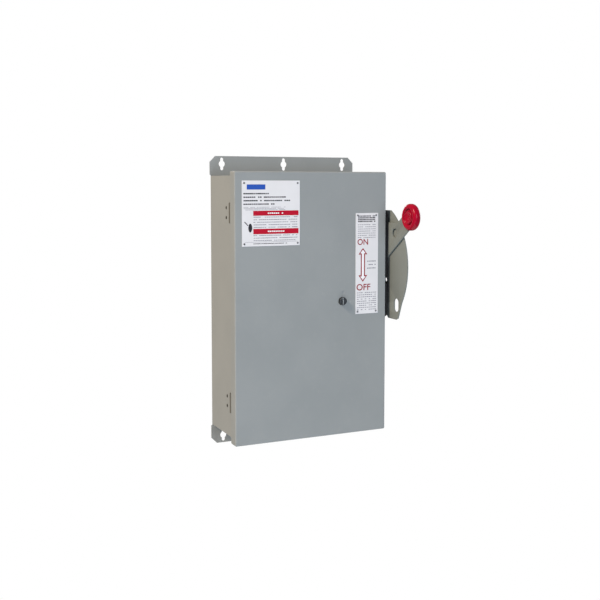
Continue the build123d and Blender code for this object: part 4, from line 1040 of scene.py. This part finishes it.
def slotted_screw(name, radius, height, depth):
    """A cheese-head screw with a straight slot, its shank reaching down to a depth."""
    edge = 0.15 * radius
    mesh = turned(name, [(0.0, height), (radius - edge, height), (radius, height - edge), (radius, 0.0),
                         (0.55 * radius, 0.0), (0.55 * radius, -depth), (0.0, -depth)], 20)
    work = bmesh.new()
    work.from_mesh(mesh)
    half = 0.16 * radius
    for side in (-1, 1):
        bmesh.ops.bisect_plane(work, geom=work.verts[:] + work.edges[:] + work.faces[:], dist=1e-8,
                               plane_co=(side * half, 0.0, 0.0), plane_no=(1.0, 0.0, 0.0))
    for vertex in work.verts:
        if abs(vertex.co.x) < half * 0.5 and vertex.co.z > height * 0.9:
            vertex.co.z -= height * 0.45
    work.to_mesh(mesh)
    work.free()
    return mesh


ground_count = 6
ground_pitch = (bar_high.x - bar_low.x) / ground_count
ground_places = [(bar_low.x + ground_pitch * (n + 0.5), bar_low.y, (bar_low.z + bar_high.z) / 2)
                 for n in range(ground_count)]
screw_height = bar_low.y - screw_face
earth_screws = repeat("slotted_earth_screws", slotted_screw("earth_screw", 0.0042, screw_height, 0.0035),
                      ground_places, TO_DOOR, bronze, 1.5)
fasten(earth_screws, "enclosure", "zinc", "ground_bar_screws")


# ---------------------------------------------------------------- wiring label inside the door
# Printed paper stuck inside the door: plain rows, three pole lines with their fuses drawn as boxes.

paper = Finish("label_paper", roughness=0.78)
pulp = paper.noise(140.0, detail=6.0, roughness=0.7)
paper.set(base_color=paper.blend(pulp, (0.66, 0.64, 0.56), (0.76, 0.74, 0.68)))
paper.set(normal=paper.bump(pulp, 0.00004, 0.5))
paint(paper, "inside_label")

inner_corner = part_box("inside_label")[1]


def inside_bar(left, right, top, bottom):
    """A printed slab on the label's inner face, in millimetres from its top left as seen from the wall."""
    low = (inner_corner.x - right * MM, inner_corner.y, inner_corner.z - bottom * MM)
    high = (inner_corner.x - left * MM, inner_corner.y + PRINT, inner_corner.z - top * MM)
    return low, high


diagram = []
for pole in range(3):
    middle = 45.0 + 40.0 * pole
    for line_top, line_bottom in ((30.0, 60.0), (78.0, 100.0), (132.0, 160.0)):
        diagram.append(inside_bar(middle - 0.5, middle + 0.5, line_top, line_bottom))
    for side in (-5.0, 4.2):
        diagram.append(inside_bar(middle + side, middle + side + 0.8, 100.0, 132.0))
    for edge in (100.0, 131.2):
        diagram.append(inside_bar(middle - 5.0, middle + 5.0, edge, edge + 0.8))
rows_random = random.Random(5)
for row in range(22):
    start = 12.0
    while start < 150.0:
        length = rows_random.uniform(4.0, 13.0)
        diagram.append(inside_bar(start, min(start + length, 158.0), 176.0 + 4.6 * row, 177.5 + 4.6 * row))
        start += length + 1.6
for row in range(3):
    diagram.append(inside_bar(12.0, rows_random.uniform(80.0, 150.0), 10.0 + 6.0 * row, 13.0 + 6.0 * row))
wiring_print = plate_piece("wiring_diagram", diagram, ink_black)
fasten(wiring_print, "door", "paper")
